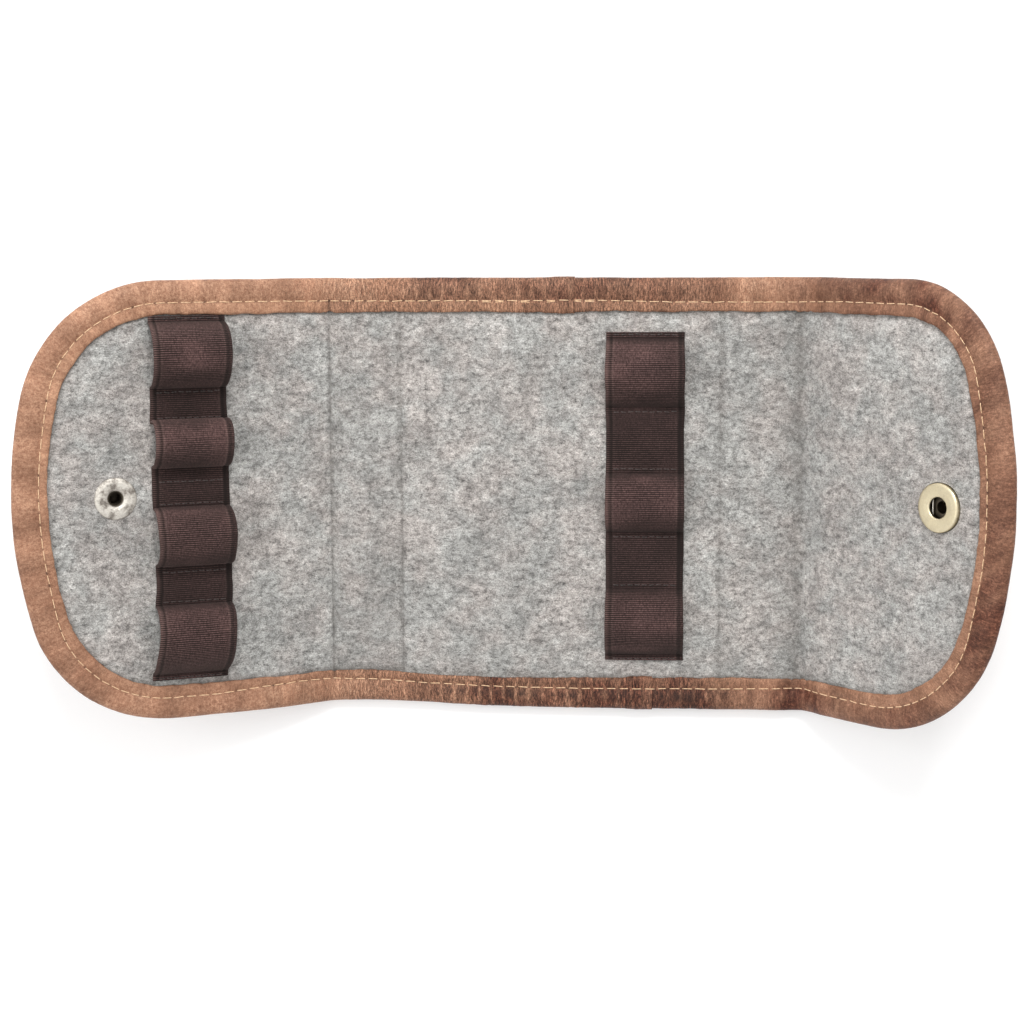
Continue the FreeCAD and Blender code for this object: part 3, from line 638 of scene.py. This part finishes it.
def resample(points, step):
    """A smooth curve through points, at even steps along it."""
    points = np.asarray(points, float)
    padded = np.vstack([2 * points[0] - points[1], points, 2 * points[-1] - points[-2]])
    fine = []
    for a, b, c, d in zip(padded, padded[1:], padded[2:], padded[3:]):
        t = np.linspace(0, 1, 24, endpoint=False)[:, None]
        second, third = 2 * a - 5 * b + 4 * c - d, 3 * b - a - 3 * c + d
        fine.append(0.5 * (2 * b + (c - a) * t + second * t ** 2 + third * t ** 3))
    fine = np.vstack(fine + [points[-1:]])
    travel = travelled(fine)
    even = np.linspace(0, travel[-1], int(round(travel[-1] / step)) + 1)
    return np.stack([np.interp(even, travel, fine[:, k]) for k in range(points.shape[1])], 1), even


def left_normals(path):
    """Unit vectors to the left of a path in a plane."""
    along = np.gradient(path, axis=0)
    along /= np.linalg.norm(along, axis=1)[:, None]
    return np.stack([-along[:, 1], along[:, 0]], 1)


PROFILE, GIRTH = resample(BINDING_PROFILE, 0.36)
TOP_STITCH, UNDER_STITCH = (
    GIRTH[np.argmin(np.hypot(*(PROFILE - (STITCH_INSET, level)).T))] for level in (TOP_LEVEL, UNDER_LEVEL)
)


# Along each long edge, as (x, value): the strip's width, its width inside the stitching, and
# how dark the oiled leather is outside and inside the stitching.
BACK_WIDTH = (
    (-90, 9.0), (-60, 9.2), (-35, 8.9), (-12, 8.9), (-2, 9.2), (5, 9.2), (12, 8.9), (60, 9.0), (90, 9.3),
)
FRONT_WIDTH = ((-90, 9.1), (-50, 8.7), (-38, 8.1), (-15, 8.1), (0, 8.6), (24, 8.8), (90, 9.2))
BACK_FLANGE = (
    (-60, 3.2), (-40, 2.9), (-10, 2.9), (0, 3.3), (5, 3.3), (12, 2.9), (30, 2.5), (62, 2.5), (80, 3.1),
)
FRONT_FLANGE = (
    (-95, 3.2), (-82, 2.3), (-70, 1.9), (-58, 2.4), (-15, 2.4), (4, 3.0), (40, 3.0), (66, 2.7), (88, 3.3),
)
BACK_STAIN = (
    (-50, 0.0), (-41, 0.35), (-33, 0.7), (-27, 0.68), (-16, 0.45), (-3, 0.5), (5, 0.55), (16, 0.62),
    (36, 0.5), (42, 0.38), (48, 0.0), (56, 0.0), (61, 0.36), (70, 0.55), (88, 0.68),
)
FRONT_STAIN = (
    (-100, 0.15), (-88, 0.15), (-78, 0.0), (-66, 0.0), (-54, 0.2), (-35, 0.5), (-28, 0.65), (-22, 0.95),
    (24.6, 0.8), (24.8, 1.3), (35, 1.3), (42, 0.6), (48, 0.38), (61, 0.8), (74, 0.78), (80, 0.3), (90, 0.45),
)
RIGHT_STAIN = ((-50, 0.58), (-36, 0.82), (-18, 0.76), (0, 0.6), (20, 0.54), (44, 0.58), (54, 0.8))
BACK_INNER = ((-66, 0.0), (-58, 0.4), (-10, 0.35), (5, 0.5), (40, 0.45), (52, 0.15), (62, 0.5), (88, 0.6))
FRONT_INNER = (
    (-100, 0.3), (-82, 0.35), (-60, 0.45), (-30, 0.5), (-18, 0.82), (0, 0.88), (24.6, 0.72), (24.8, 0.95),
    (36, 0.8), (42, 0.45), (60, 0.6), (76, 0.45), (90, 0.35),
)


# Wrinkles across the strip where it bends, as (distance from the crease, depth).
A1_WRINKLES = ((-4.2, 0.1), (-1.6, 0.16), (0.9, 0.2), (3.4, 0.1))
B2_WRINKLES = ((-5, 0.15), (-2.3, 0.3), (0.3, 0.2), (2.8, 0.3), (5.5, 0.15))


def along_edges(x, y, back, front):
    """A value that changes along the two long edges."""
    return np.where(y > 0, np.interp(x, *zip(*back)), np.interp(x, *zip(*front)))


def strip_widths(x, y):
    """The strip's width, and its width inside the stitching, least at the middle of each end."""
    end = smooth((np.abs(x - 5) - 90) / 12) * smooth((45 - np.abs(y)) / 25)
    flange = along_edges(x, y, BACK_FLANGE, FRONT_FLANGE)
    return along_edges(x, y, BACK_WIDTH, FRONT_WIDTH), flange + (2.3 - flange) * end


def gathering(s, x, y):
    """How strongly the stitches gather the strip: most along the middle of the front."""
    front = smooth((x + 52) / 30) * (0.25 + 0.75 * smooth((27 - x) / 12)) + 0.35 * hump((x - 35) / 6)
    back = 0.35 * smooth((x + 45) / 15) * smooth((40 - x) / 30) + 0.1
    strength = np.where(y < 0, 0.05 + 0.95 * front, back) * smooth((98 - np.abs(x)) / 20)
    return strength * (1 + 0.6 * noise(s, 0, 4, 26))


def pucker(s, out, gather):
    """Hollows under the stitches; out is the distance outward from the stitching."""
    reach = np.where(out > 0.9, (out - 0.9) / 3.2, (out - 0.9) / 1.7)
    return -0.36 * gather * (1 - (1 - stitch_beat(s)) ** 3) * hump(reach)


def stitch_beat(s):
    """One in the middle of each stitch and nought at the needle holes between them."""
    return 0.5 + 0.5 * np.cos(2 * math.pi * (s + 0.3 * noise(s, 0, 7, 27)) / STITCH_PITCH)


def flange_share(away):
    """Nought outside the stitching, one inside it; away is the distance outward from it."""
    return smooth((0.5 - away) / 0.8)


def strip_relief(s, g, x, y, lifted_end):
    """Height of the folded strip's surface over its plain profile, at s along and g round it."""
    away = TOP_STITCH - g
    gather = gathering(s, x, y)
    inner_side = flange_share(away)
    height = pucker(s, away, gather) - 0.10 * hump((g - UNDER_STITCH) / 1.0) * stitch_beat(s)
    crinkle = noise(s, g * 0.22, 0.85, 21) * 0.05 + noise(s, g * 0.3, 2.1, 22) * 0.06
    height += crinkle * (0.4 + 0.9 * np.clip(gather, 0, 1))
    height += 0.10 * noise(s, g, 9, 23) * smooth((g - 2) / 3)
    height -= 0.35 * hump((x - A1) / 0.7) * inner_side
    for offset, depth in A1_WRINKLES:
        height -= depth * hump((x - A1 - offset) / 0.55) * (y > 0) * smooth((g - 12) / 2)
    for offset, depth in B2_WRINKLES:
        height -= depth * hump((x - B2 - offset) / 0.6) * smooth((2.2 - away) / 1.5)
    if lifted_end is not None:
        # the strip's end lies over the strip it meets
        height += 0.3 * smooth((9 - np.abs(s - lifted_end)) / 5)
    # underneath, the table presses it flat
    return np.minimum(height, 0.02 + 2 * smooth((g - 7.5) / 3))


def make_binding(name, start, end, lifted_end=None):
    """A stretch of binding from start to end along the outline."""
    stations = np.linspace(start, end, int(round((end - start) / 0.42)) + 1)
    points, normals = OUTLINE.at(stations)
    s, g = stations[:, None], GIRTH[None, :]
    px, py = points[:, :1], points[:, 1:]
    out = left_normals(PROFILE)
    height = strip_relief(s, g, px, py, lifted_end)
    width, flange = strip_widths(px, py)
    base = PROFILE[None] + out[None] * height[..., None]
    inner = np.broadcast_to(PROFILE[None] - out[None] * BINDING_WALL, base.shape)
    edge_wave = 0.16 * noise(s, 0, 5, 24) + 0.1 * noise(s, 0, 1.7, 25)
    layers = []
    for layer in (base, inner):
        d, z = layer[..., 0], layer[..., 1]
        outer_scale = (width - flange - FOLD_DEPTH) / (STITCH_INSET - FOLD_DEPTH)
        outer_part = FOLD_DEPTH + (d - FOLD_DEPTH) * outer_scale
        flange_part = width - flange + (d - STITCH_INSET) * flange / (BINDING_WIDTH - STITCH_INSET)
        d = np.where(d > STITCH_INSET, flange_part, np.where(d > FOLD_DEPTH, outer_part, d))
        d = d + edge_wave * smooth((d - 7) / 2)
        layers.append(vectors(px + normals[:, :1] * d, py + normals[:, 1:] * d, z))
    faces = grid_faces(len(stations), len(GIRTH))
    tone, strip = strip_tones(s, g, px, py)
    return shell_object(name, layers, faces, MATERIALS["binding"], tone=tone, strip=strip)


def strip_tones(s, g, px, py):
    """The strip's tone (stain with painted ridge highlights, painted shade with the oiled patch, brightness)
    and place (along, round, streakiness).
    """
    away = TOP_STITCH - g
    beat, gather = stitch_beat(s), gathering(s, px, py)
    inner_side = flange_share(away)
    # painted highlight: the ridges between the stitches lose some of the stain, so they are lighter
    ridge_highlight = gather * (1 - beat) ** 6 * hump((away - 2.0) / 2.8)
    stain = stain_map(px, py, g, inner_side) - 0.75 * ridge_highlight
    # painted shade: dark in the needle holes, in the hollows the stitches pull in, and in the A1 crease; the
    # oiled patch past the front joint is a real dark patch
    pit_shade_and_oil = (0.5 + 0.7 * noise(s, 0, 4, 26)) * hump(away / 0.3) * (1 - beat) ** 8
    hollow = 1 - (1 - beat) ** 3
    pit_shade_and_oil += gather * hollow * (0.56 * hump((away - 2.1) / 1.9) + 0.35 * hump((away + 1.1) / 0.8))
    pit_shade_and_oil += 0.6 * hump((px - A1) / 0.5) * inner_side
    oiled = smooth((px - FRONT_JOINT) / 0.3) * smooth((39 - px) / 4) * (py < 0)
    pit_shade_and_oil += 0.4 * oiled * hump((away - 3.4) / 3)
    bright = inner_side * (0.5 - 0.5 * stain)
    streaky = 0.3 + smooth((px + 90) / 45) * (0.15 + 0.5 * smooth((68 - px) / 40))
    return vectors(stain, np.clip(pit_shade_and_oil, 0, 1), bright), vectors(s, g, streaky)


def stain_map(x, y, g, inner_side):
    """How dark the oiled leather is, from nought to one."""
    outside = along_edges(x, y, BACK_STAIN, FRONT_STAIN)
    at_right = smooth((x - 86) / 10)
    outside = outside + (np.interp(y, *zip(*RIGHT_STAIN)) - outside) * at_right
    inside = along_edges(x, y, BACK_INNER, FRONT_INNER)
    stain = outside + (inside - outside) * inner_side
    patch = 0.35 * noise(x, y + g * 0.8, 9, 31) + 0.25 * noise(x, y + g, 3, 32)
    return np.clip(stain + patch * (0.15 + 0.85 * stain), 0, 1.1)


def tube(path, radius, sides):
    """Points and faces of a closed round strand along a path."""
    along = np.gradient(path, axis=0)
    along /= np.linalg.norm(along, axis=1)[:, None]
    side = np.cross(along, (0.0, 0.0, 1.0))
    side /= np.maximum(np.linalg.norm(side, axis=1), 1e-6)[:, None]
    up = np.cross(side, along)
    angle = np.linspace(0, 2 * math.pi, sides, endpoint=False)
    ring = side[:, None] * np.cos(angle)[None, :, None] + up[:, None] * np.sin(angle)[None, :, None]
    radius = np.broadcast_to(radius, len(path))[:, None, None]
    points = (path[:, None] + ring * radius).reshape(-1, 3)
    faces = grid_faces(len(path), sides, wrap_columns=True)[:, [0, 3, 2, 1]].tolist()
    cap = list(range(sides))
    last = (len(path) - 1) * sides
    return points, faces + [cap[::-1], [last + k for k in cap]]


def join_strands(name, strands, material):
    """One mesh from several round strands, each a path, a radius and a number of sides."""
    points, faces, strips = [], [], []
    for path, radius, sides in strands:
        base = sum(len(p) for p in points)
        ring, quads = tube(path, radius, sides)
        points.append(ring)
        faces += [tuple(base + k for k in face) for face in quads]
        along = np.repeat(np.arange(len(path)) * 0.3, sides)
        strips.append(np.stack([along, np.tile(np.arange(sides) * 0.2, len(path)), 0 * along], 1))
    return mesh_object(name, np.concatenate(points), faces, material, strip=np.concatenate(strips))


def make_seam(name, start, end, lifted_end):
    """The stitches of one stretch of binding, above and below it."""
    first, last = math.ceil(start / STITCH_PITCH), math.floor(end / STITCH_PITCH)
    strands = []
    for number in range(first, last + 1):
        rng = np.random.default_rng(number + 1000)
        t = np.linspace(-1, 1, 7)
        length = STITCH_HALF + rng.normal(0, 0.08)
        s = number * STITCH_PITCH + t * length
        points, normals = OUTLINE.at(s)
        x, y = points[:, 0], points[:, 1]
        # near the back joint the sewing runs back over itself
        near_back_joint = y[3] > 0 and -26 < x[3] < 9
        copies = 2 if near_back_joint and rng.random() < 0.6 else 1
        for copy in range(copies):
            across = rng.normal(0, 0.06) * t - copy * (0.3 + 0.12 * t ** 2)
            width, flange = strip_widths(x, y)
            flat = points + normals * (width - flange - across)[:, None]
            relief = strip_relief(s, TOP_STITCH - across, x, y, lifted_end)
            dive = 0.34 * np.abs(t) ** 6
            radius = THREAD_RADIUS * (1 - 0.3 * np.abs(t) ** 4)
            for level, rise, sign in ((TOP_LEVEL, relief, 1), (UNDER_LEVEL, 0.08, -1)):
                z = level + rise + sign * (0.09 - dive)
                strands.append((np.column_stack([flat, z]), radius, 6))
    return join_strands(name, strands, MATERIALS["seam"])


# Elastic bands.


def even_path(line, step):
    """The points of a line at even steps along it, and their distances along it."""
    travel = travelled(line)
    even = np.arange(0, travel[-1], step)
    return np.stack([np.interp(even, travel, line[:, k]) for k in (0, 1)], 1), even


def band_path(loops, leans, rise):
    """Back-to-front line of a band's middle: flat where sewn, arched in the loops.

    Each loop leans toward the back, and lies slack on the felt for a little before its front row.
    """
    sewn = FELT_TOP + BAND_HALF
    line = [(loops[0][0] + HEM, sewn)]
    for (back, front), (lean, slack) in zip(loops, leans):
        half, middle = (back - front - slack) / 2, (back + front + slack) / 2
        radius = (half ** 2 + rise ** 2) / (2 * rise)
        low = math.asin((rise - radius) / radius)
        angles = np.linspace(-low, math.pi + low, 40)
        arc_z = FELT_TOP + rise - radius + (radius - 0.5) * np.sin(angles)
        arc_y = middle + (radius - 0.5) * np.cos(angles) + lean * (arc_z - FELT_TOP) / rise
        line += [(back - 0.1, sewn)] + list(zip(arc_y, np.maximum(arc_z, sewn))) + [(front + 0.1, sewn)]
    line.append((loops[-1][1] - HEM, sewn))
    path, _ = even_path(np.array(line), 0.05)
    # the webbing is too stiff for a sharp corner
    kernel = np.hanning(27)
    kernel /= kernel.sum()
    padded = np.pad(path, ((13, 13), (0, 0)), "edge")
    path = np.stack([np.convolve(padded[:, k], kernel, "valid") for k in (0, 1)], 1)
    return even_path(path, 0.134)


def make_elastic(name, centre_x, width, loops, leans, rise, wander, seed):
    """A ribbed elastic band with a groove along each selvedge."""
    path, travel = band_path(loops, leans, rise)
    out = -left_normals(path)
    across = np.concatenate([[-1.0, -0.995], np.linspace(-0.985, 0.985, 45), [0.995, 1.0]]) * width / 2
    s, a = travel[:, None], across[None, :]
    rib = np.cos(2 * math.pi * (s + 0.06 * noise(s, a, 3, seed)) / RIB_PITCH)
    lift = (path[:, 1:] - FELT_TOP - BAND_HALF) / rise
    groove = hump((np.abs(a) - width / 2 + SELVEDGE) / 0.28)
    edge = smooth((width / 2 - np.abs(a)) / 0.35)
    half = BAND_HALF * np.sqrt(np.clip(edge, 0.02, 1))
    surface = half + (0.055 * rib - 0.22 * groove + 0.03 * noise(s, a, 1.2, seed + 1)) * edge
    soft = 0.35 * noise(s, a, 11, seed + 2) * lift
    drift = np.interp(path[:, 0], *wander)[:, None]
    stretch = 1 + 0.006 * lift + 0.012 * noise(s, 0, 6, seed + 3)
    x = centre_x + a * stretch + drift
    layers = []
    for side in (1, -1):
        offset = soft + side * surface
        layers.append(vectors(x, path[:, :1] + out[:, :1] * offset, path[:, 1:] + out[:, 1:] * offset))
    # painted shade: darker in the grooves between the ribs and in the selvedge grooves, on the loops'
    # front-facing slopes, in the low sewn stretches between the loops, and along the right selvedge
    patchy = 0.95 + 0.5 * noise(s, a * 0.5, 4, seed + 4)
    facing_front = smooth(-out[:, :1] * 1.3)
    shade = 1.25 * patchy * (0.5 - 0.5 * rib) + 0.65 * groove + 0.2 * facing_front
    in_hem = (path[:, :1] > loops[0][0]) | (path[:, :1] < loops[-1][1])
    shade += np.where(in_hem, 0.15, 0.4) * (1 - smooth(lift / 0.5))
    shade += 0.3 * smooth((a - width / 2 + SELVEDGE) / 0.3)
    # painted highlight along the left selvedge, and a paler line just inside each groove
    selvedge = 0.45 * smooth((-a - width / 2 + 1.3) / 0.3)
    line = 0.4 * hump((np.abs(a) - width / 2 + 1.95) / 0.3)
    return shell_object(
        name, layers, grid_faces(len(travel), len(across)), MATERIALS["elastic"],
        shade=np.clip(shade, 0, 1).ravel(), strip=vectors(s, a, selvedge + line),
    )


def make_rows(name, centre_x, width, loops, wander):
    """The rows of stitches that sew a band down at the foot of each loop."""
    rows = [loops[0][0] + HEM / 2]
    for (_, front), (back, _) in zip(loops, loops[1:]):
        rows += [front - 0.8, back + 0.8]
    rows.append(loops[-1][1] - HEM / 2)
    strands = []
    for row, y in enumerate(rows):
        drift = np.interp(y, *wander)
        count = int((width - 2) / ROW_PITCH)
        for number in range(count):
            rng = np.random.default_rng(row * 100 + number)
            middle = centre_x + drift + (number + 0.5 - count / 2) * ROW_PITCH
            t = np.linspace(-1, 1, 6)
            z = FELT_TOP + 0.95 - 0.3 * np.abs(t) ** 4
            path = np.stack([middle + 0.8 * t, y + rng.normal(0, 0.06) + rng.normal(0, 0.05) * t, z], 1)
            strands.append((path, ROW_RADIUS, 6))
    return join_strands(name, strands, MATERIALS["row"])


# Snap.


def lathe(name, profile, centre_x, material, dark, segments=96, step=0.12):
    """A piece of the snap, turned about its own axis from a closed (radius, height) line.

    dark is the radius and height inside which the metal gets painted shade.
    """
    line, _ = resample(profile + profile[:1], step)
    line[:, 0] = np.maximum(line[:, 0], 0.0)
    line = line[:-1]
    following = np.roll(line, -1, 0)
    if np.sum(line[:, 0] * following[:, 1] - following[:, 0] * line[:, 1]) < 0:
        line = line[::-1]
    angle = np.linspace(0, 2 * math.pi, segments, endpoint=False)
    x = centre_x + line[:, :1].T * np.cos(angle)[:, None]
    y = SNAP_Y + line[:, :1].T * np.sin(angle)[:, None]
    faces = grid_faces(segments, len(line), wrap_rows=True, wrap_columns=True)
    shade = smooth((dark[0] - line[:, 0]) / 0.3) * smooth((dark[1] - line[:, 1]) / 0.3)
    return mesh_object(name, vectors(x, y, line[:, 1]), faces, material, shade=np.tile(shade, segments))


def corners(profile, radius):
    """Round each corner of a closed profile by stepping in from it on both sides."""
    rounded = []
    profile = [np.array(p, float) for p in profile]
    for before, here, after in zip(profile[-1:] + profile[:-1], profile, profile[1:] + profile[:1]):
        for other, share in ((before, 1.0), (before, 0.35), (after, 0.35), (after, 1.0)):
            reach = np.linalg.norm(other - here)
            step = min(radius * share, reach * 0.45)
            rounded.append(tuple(here + (other - here) * step / max(reach, 1e-9)))
    return tuple(rounded)


# Each turned piece of the snap: its node and the end of its own name, its metal, its body, the radius
# and height inside which it gets painted shade, how far its corners are rounded, and its (radius, height)
# line.
SNAP_PIECES = (
    ("snap_eyelet", "_ring", "nickel", "left_flap", (2.2, 4.45), 0.14, (
        (1.55, -2.2), (1.85, -2.2), (1.85, 3.55), (5.35, 3.55), (5.6, 3.85), (5.35, 4.3),
        (4.3, 4.62), (3.0, 4.6), (2.25, 4.35), (1.95, 3.95), (1.55, 3.5),
    )),
    ("snap_stud", "_knob", "nickel", "left_flap", (1.95, 0.5), 0.12, (
        (1.88, 0.0), (4.3, 0.0), (4.3, -0.45), (2.1, -0.5), (2.1, -1.2), (2.3, -1.6), (2.3, -2.3),
        (1.95, -2.8), (0.0, -2.8), (0.0, -2.25), (1.88, -2.25),
    )),
    ("snap_socket", "_ring", "brass", "right_flap", (5.8, 4.75), 0.12, (
        (2.0, 2.2), (5.9, 2.2), (6.2, 2.5), (6.2, 4.7), (5.95, 4.97), (5.6, 5.02), (4.3, 5.04),
        (2.95, 4.98), (2.7, 4.75), (2.7, 4.1), (3.1, 4.1), (3.15, 4.5), (5.7, 4.5), (5.7, 2.65), (2.0, 2.65),
    )),
    ("snap_post", "_tube", "brass", "right_flap", (5.0, 3.5), 0.08, (
        (0.0, -0.6), (4.5, -0.6), (4.5, -0.25), (2.0, -0.25), (2.0, 2.65), (2.8, 2.65), (2.8, 2.9),
        (1.6, 2.9), (1.6, -0.25), (0.0, -0.25),
    )),
    ("snap_cap", "_dome", "brass", "right_flap", (0.0, 0.0), 0.1, (
        (0.0, -1.3), (3.0, -1.28), (5.5, -1.15), (6.8, -0.85), (7.5, -0.4), (7.5, 0.0), (2.0, 0.0),
        (2.0, -0.2), (7.1, -0.2), (7.1, -0.45), (5.4, -0.85), (0.0, -0.95),
    )),
)


def make_snap():
    for node, ending, metal, body, dark, rounding, line in SNAP_PIECES:
        centre_x = STUD_X if body == "left_flap" else SOCKET_X
        piece = lathe(node + ending, corners(line, rounding), centre_x, MATERIALS[metal], dark)
        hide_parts(node)
        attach(piece, body)


def make_spring():
    """The hairpin wire inside the socket."""
    half_gap, level = 2.55, 3.45
    t = np.linspace(0, math.pi, 24)
    legs = np.linspace(0, 5.8, 14)
    near = np.stack([SOCKET_X + half_gap + 0 * legs, SNAP_Y - 3.4 + legs, level + 0 * legs], 1)
    bend_x, bend_y = SOCKET_X + half_gap * np.cos(t), SNAP_Y + 2.4 + half_gap * np.sin(t)
    bend = np.stack([bend_x, bend_y, level + 0 * t], 1)
    far = near[::-1] - (2 * half_gap, 0, 0)
    path = np.concatenate([near, bend[1:-1], far])
    piece = join_strands("snap_spring_wire", [(path, WIRE_RADIUS, 12)], MATERIALS["steel"])
    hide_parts("snap_spring")
    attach(piece, "right_flap")


# Putting it together.


def make_sheets():
    for panel, (_, _, crease, covered) in SHEETS.items():
        leather, felt = make_leather(panel), make_felt(panel)
        for piece, layer, slot in ((leather, "leather", "leather_shell"), (felt, "felt", "felt")):
            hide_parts(*(f"{node}_{layer}" for node in covered))
            blend_piece(piece, crease)
        declare_sheet(panel)


def declare_sheet(panel):
    """Work out the felt's span across one sheet at each x; nothing is done with it."""
    start, end = SHEETS[panel][:2]
    x = np.linspace(start, end, 400)
    low, high = OUTLINE.span(x, SHEET_INSET)


def make_bindings():
    back, front, round_trip = OUTLINE.back, OUTLINE.front, OUTLINE.length
    # name, start, end, crease, lifted end, the strip's nodes, the thread's node if it has one
    stretches = (
        ("middle_left_back", back(BACK_JOINT), back(MID_LEFT), "A2", back(BACK_JOINT),
         ("middle_left_back", "left_spine_back"), ("left_spine",)),
        ("left_end", back(MID_LEFT), front(MID_LEFT), "A1", None, ("left_flap",), ("left_flap",)),
        ("middle_left_front", front(MID_LEFT), front(FRONT_JOINT), "A2", front(FRONT_JOINT),
         ("middle_left_front", "left_spine_front"), ("middle",)),
        ("middle_right_front", front(FRONT_JOINT), front(MID_RIGHT), "B1", None,
         ("middle_right_front", "right_spine_front"), ()),
        ("right_end", front(MID_RIGHT), round_trip + back(MID_RIGHT), "B2", None,
         ("right_flap",), ("right_flap",)),
        ("middle_right_back", back(MID_RIGHT), back(BACK_JOINT), "B1", None,
         ("middle_right_back", "right_spine_back"), ("right_spine",)),
    )
    for name, start, end, crease, lifted_end, strip_nodes, thread_nodes in stretches:
        strip = make_binding("binding_" + name, start, end, lifted_end)
        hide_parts(*(node + "_binding" for node in strip_nodes))
        blend_piece(strip, crease)
        seam = make_seam("seam_" + name, start, end, lifted_end)
        if thread_nodes:
            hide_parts(*(node + "_binding_thread" for node in thread_nodes))
        blend_piece(seam, crease)


def make_bands():
    left_loops = ((47.4, 29.8), (21.4, 6.4), (-1.1, -17.5), (-27.0, -45.8))
    right_loops = ((42.3, 23.4), (6.6, -9.9), (-24.5, -43.0))
    left_wander = ((-48, -23, 2, 23, 48), (-1.25, 0.6, 0.15, 0.0, 0.0))
    right_wander = ((-45, 0, 43), (-0.1, 0.0, 0.0))
    left_leans = ((0.0, 0.0), (1.4, 2.8), (0.4, 0.6), (1.2, 0.0))
    right_leans = ((0.0, 0.0),) * 3
    for side, centre_x, width, loops, leans, rise, wander, body, seed in (
        ("left", A1 - 39.0, 20.4, left_loops, left_leans, 8.5, left_wander, "left_flap", 41),
        ("right", A2 + 65.1, 20.8, right_loops, right_leans, 6.4, right_wander, "middle", 51),
    ):
        band = make_elastic(side + "_elastic", centre_x, width, loops, leans, rise, wander, seed)
        rows = make_rows(side + "_elastic_rows", centre_x, width, loops, wander)
        for piece, node, slot in (
            (band, side + "_elastic_band", "elastic"),
            (rows, side + "_band_stitches", "band_thread"),
        ):
            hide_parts(node)
            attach(piece, body)


def make_stage():
    """A pale floor, a white sky and two soft lamps."""
    mesh = bpy.data.meshes.new("floor")
    reach = 3.0
    ring = ((-reach, -reach), (reach, -reach), (reach, reach), (-reach, reach))
    mesh.from_pydata([(x, y, FLOOR_Z) for x, y in ring], [], [(0, 1, 2, 3)])
    g = Graph("floor")
    mesh.materials.append(g.finish(
        Base_Color=(0.95, 0.95, 0.95, 1), Roughness=0.9, Emission_Color=(1, 1, 1, 1), Emission_Strength=0.1,
    ))
    add_object("floor", mesh)
    world = bpy.data.worlds.new("studio")
    world.use_nodes = True
    sky = world.node_tree.nodes["Background"].inputs
    sky["Color"].default_value = (1, 1, 1, 1)
    sky["Strength"].default_value = 0.82
    bpy.context.scene.world = world
    for name, place, energy, size in (
        ("key", (0.12, 0.85, 0.8), 8.5, 0.4),
        ("fill", (-0.75, 0.1, 0.8), 3.7, 0.9),
    ):
        data = bpy.data.lights.new(name, "AREA")
        data.energy, data.size = energy, size
        lamp = add_object(name, data)
        lamp.location = place
        lamp.rotation_euler = (-Vector(place)).to_track_quat("-Z", "Y").to_euler()
    bpy.context.scene.view_settings.view_transform = "Standard"


def make_camera():
    """The view from above the middle and a little behind the case."""
    data = bpy.data.cameras.new("camera")
    data.lens, data.sensor_width = 76.0, 36.0
    data.clip_start, data.clip_end = 0.01, 20
    camera = add_object("camera", data)
    roll, swing, tip = (
        Matrix.Rotation(angle, 3, axis) for angle, axis in ((-0.0056, "Z"), (-0.0746, "Y"), (0.1317, "X"))
    )
    look = (roll @ swing @ tip).transposed().to_4x4()
    camera.matrix_world = Matrix.Translation((0.03024, 0.0713, 0.5753)) @ look
    bpy.context.scene.camera = camera


make_camera()
make_stage()
make_sheets()
make_bindings()
make_bands()
make_snap()
make_spring()
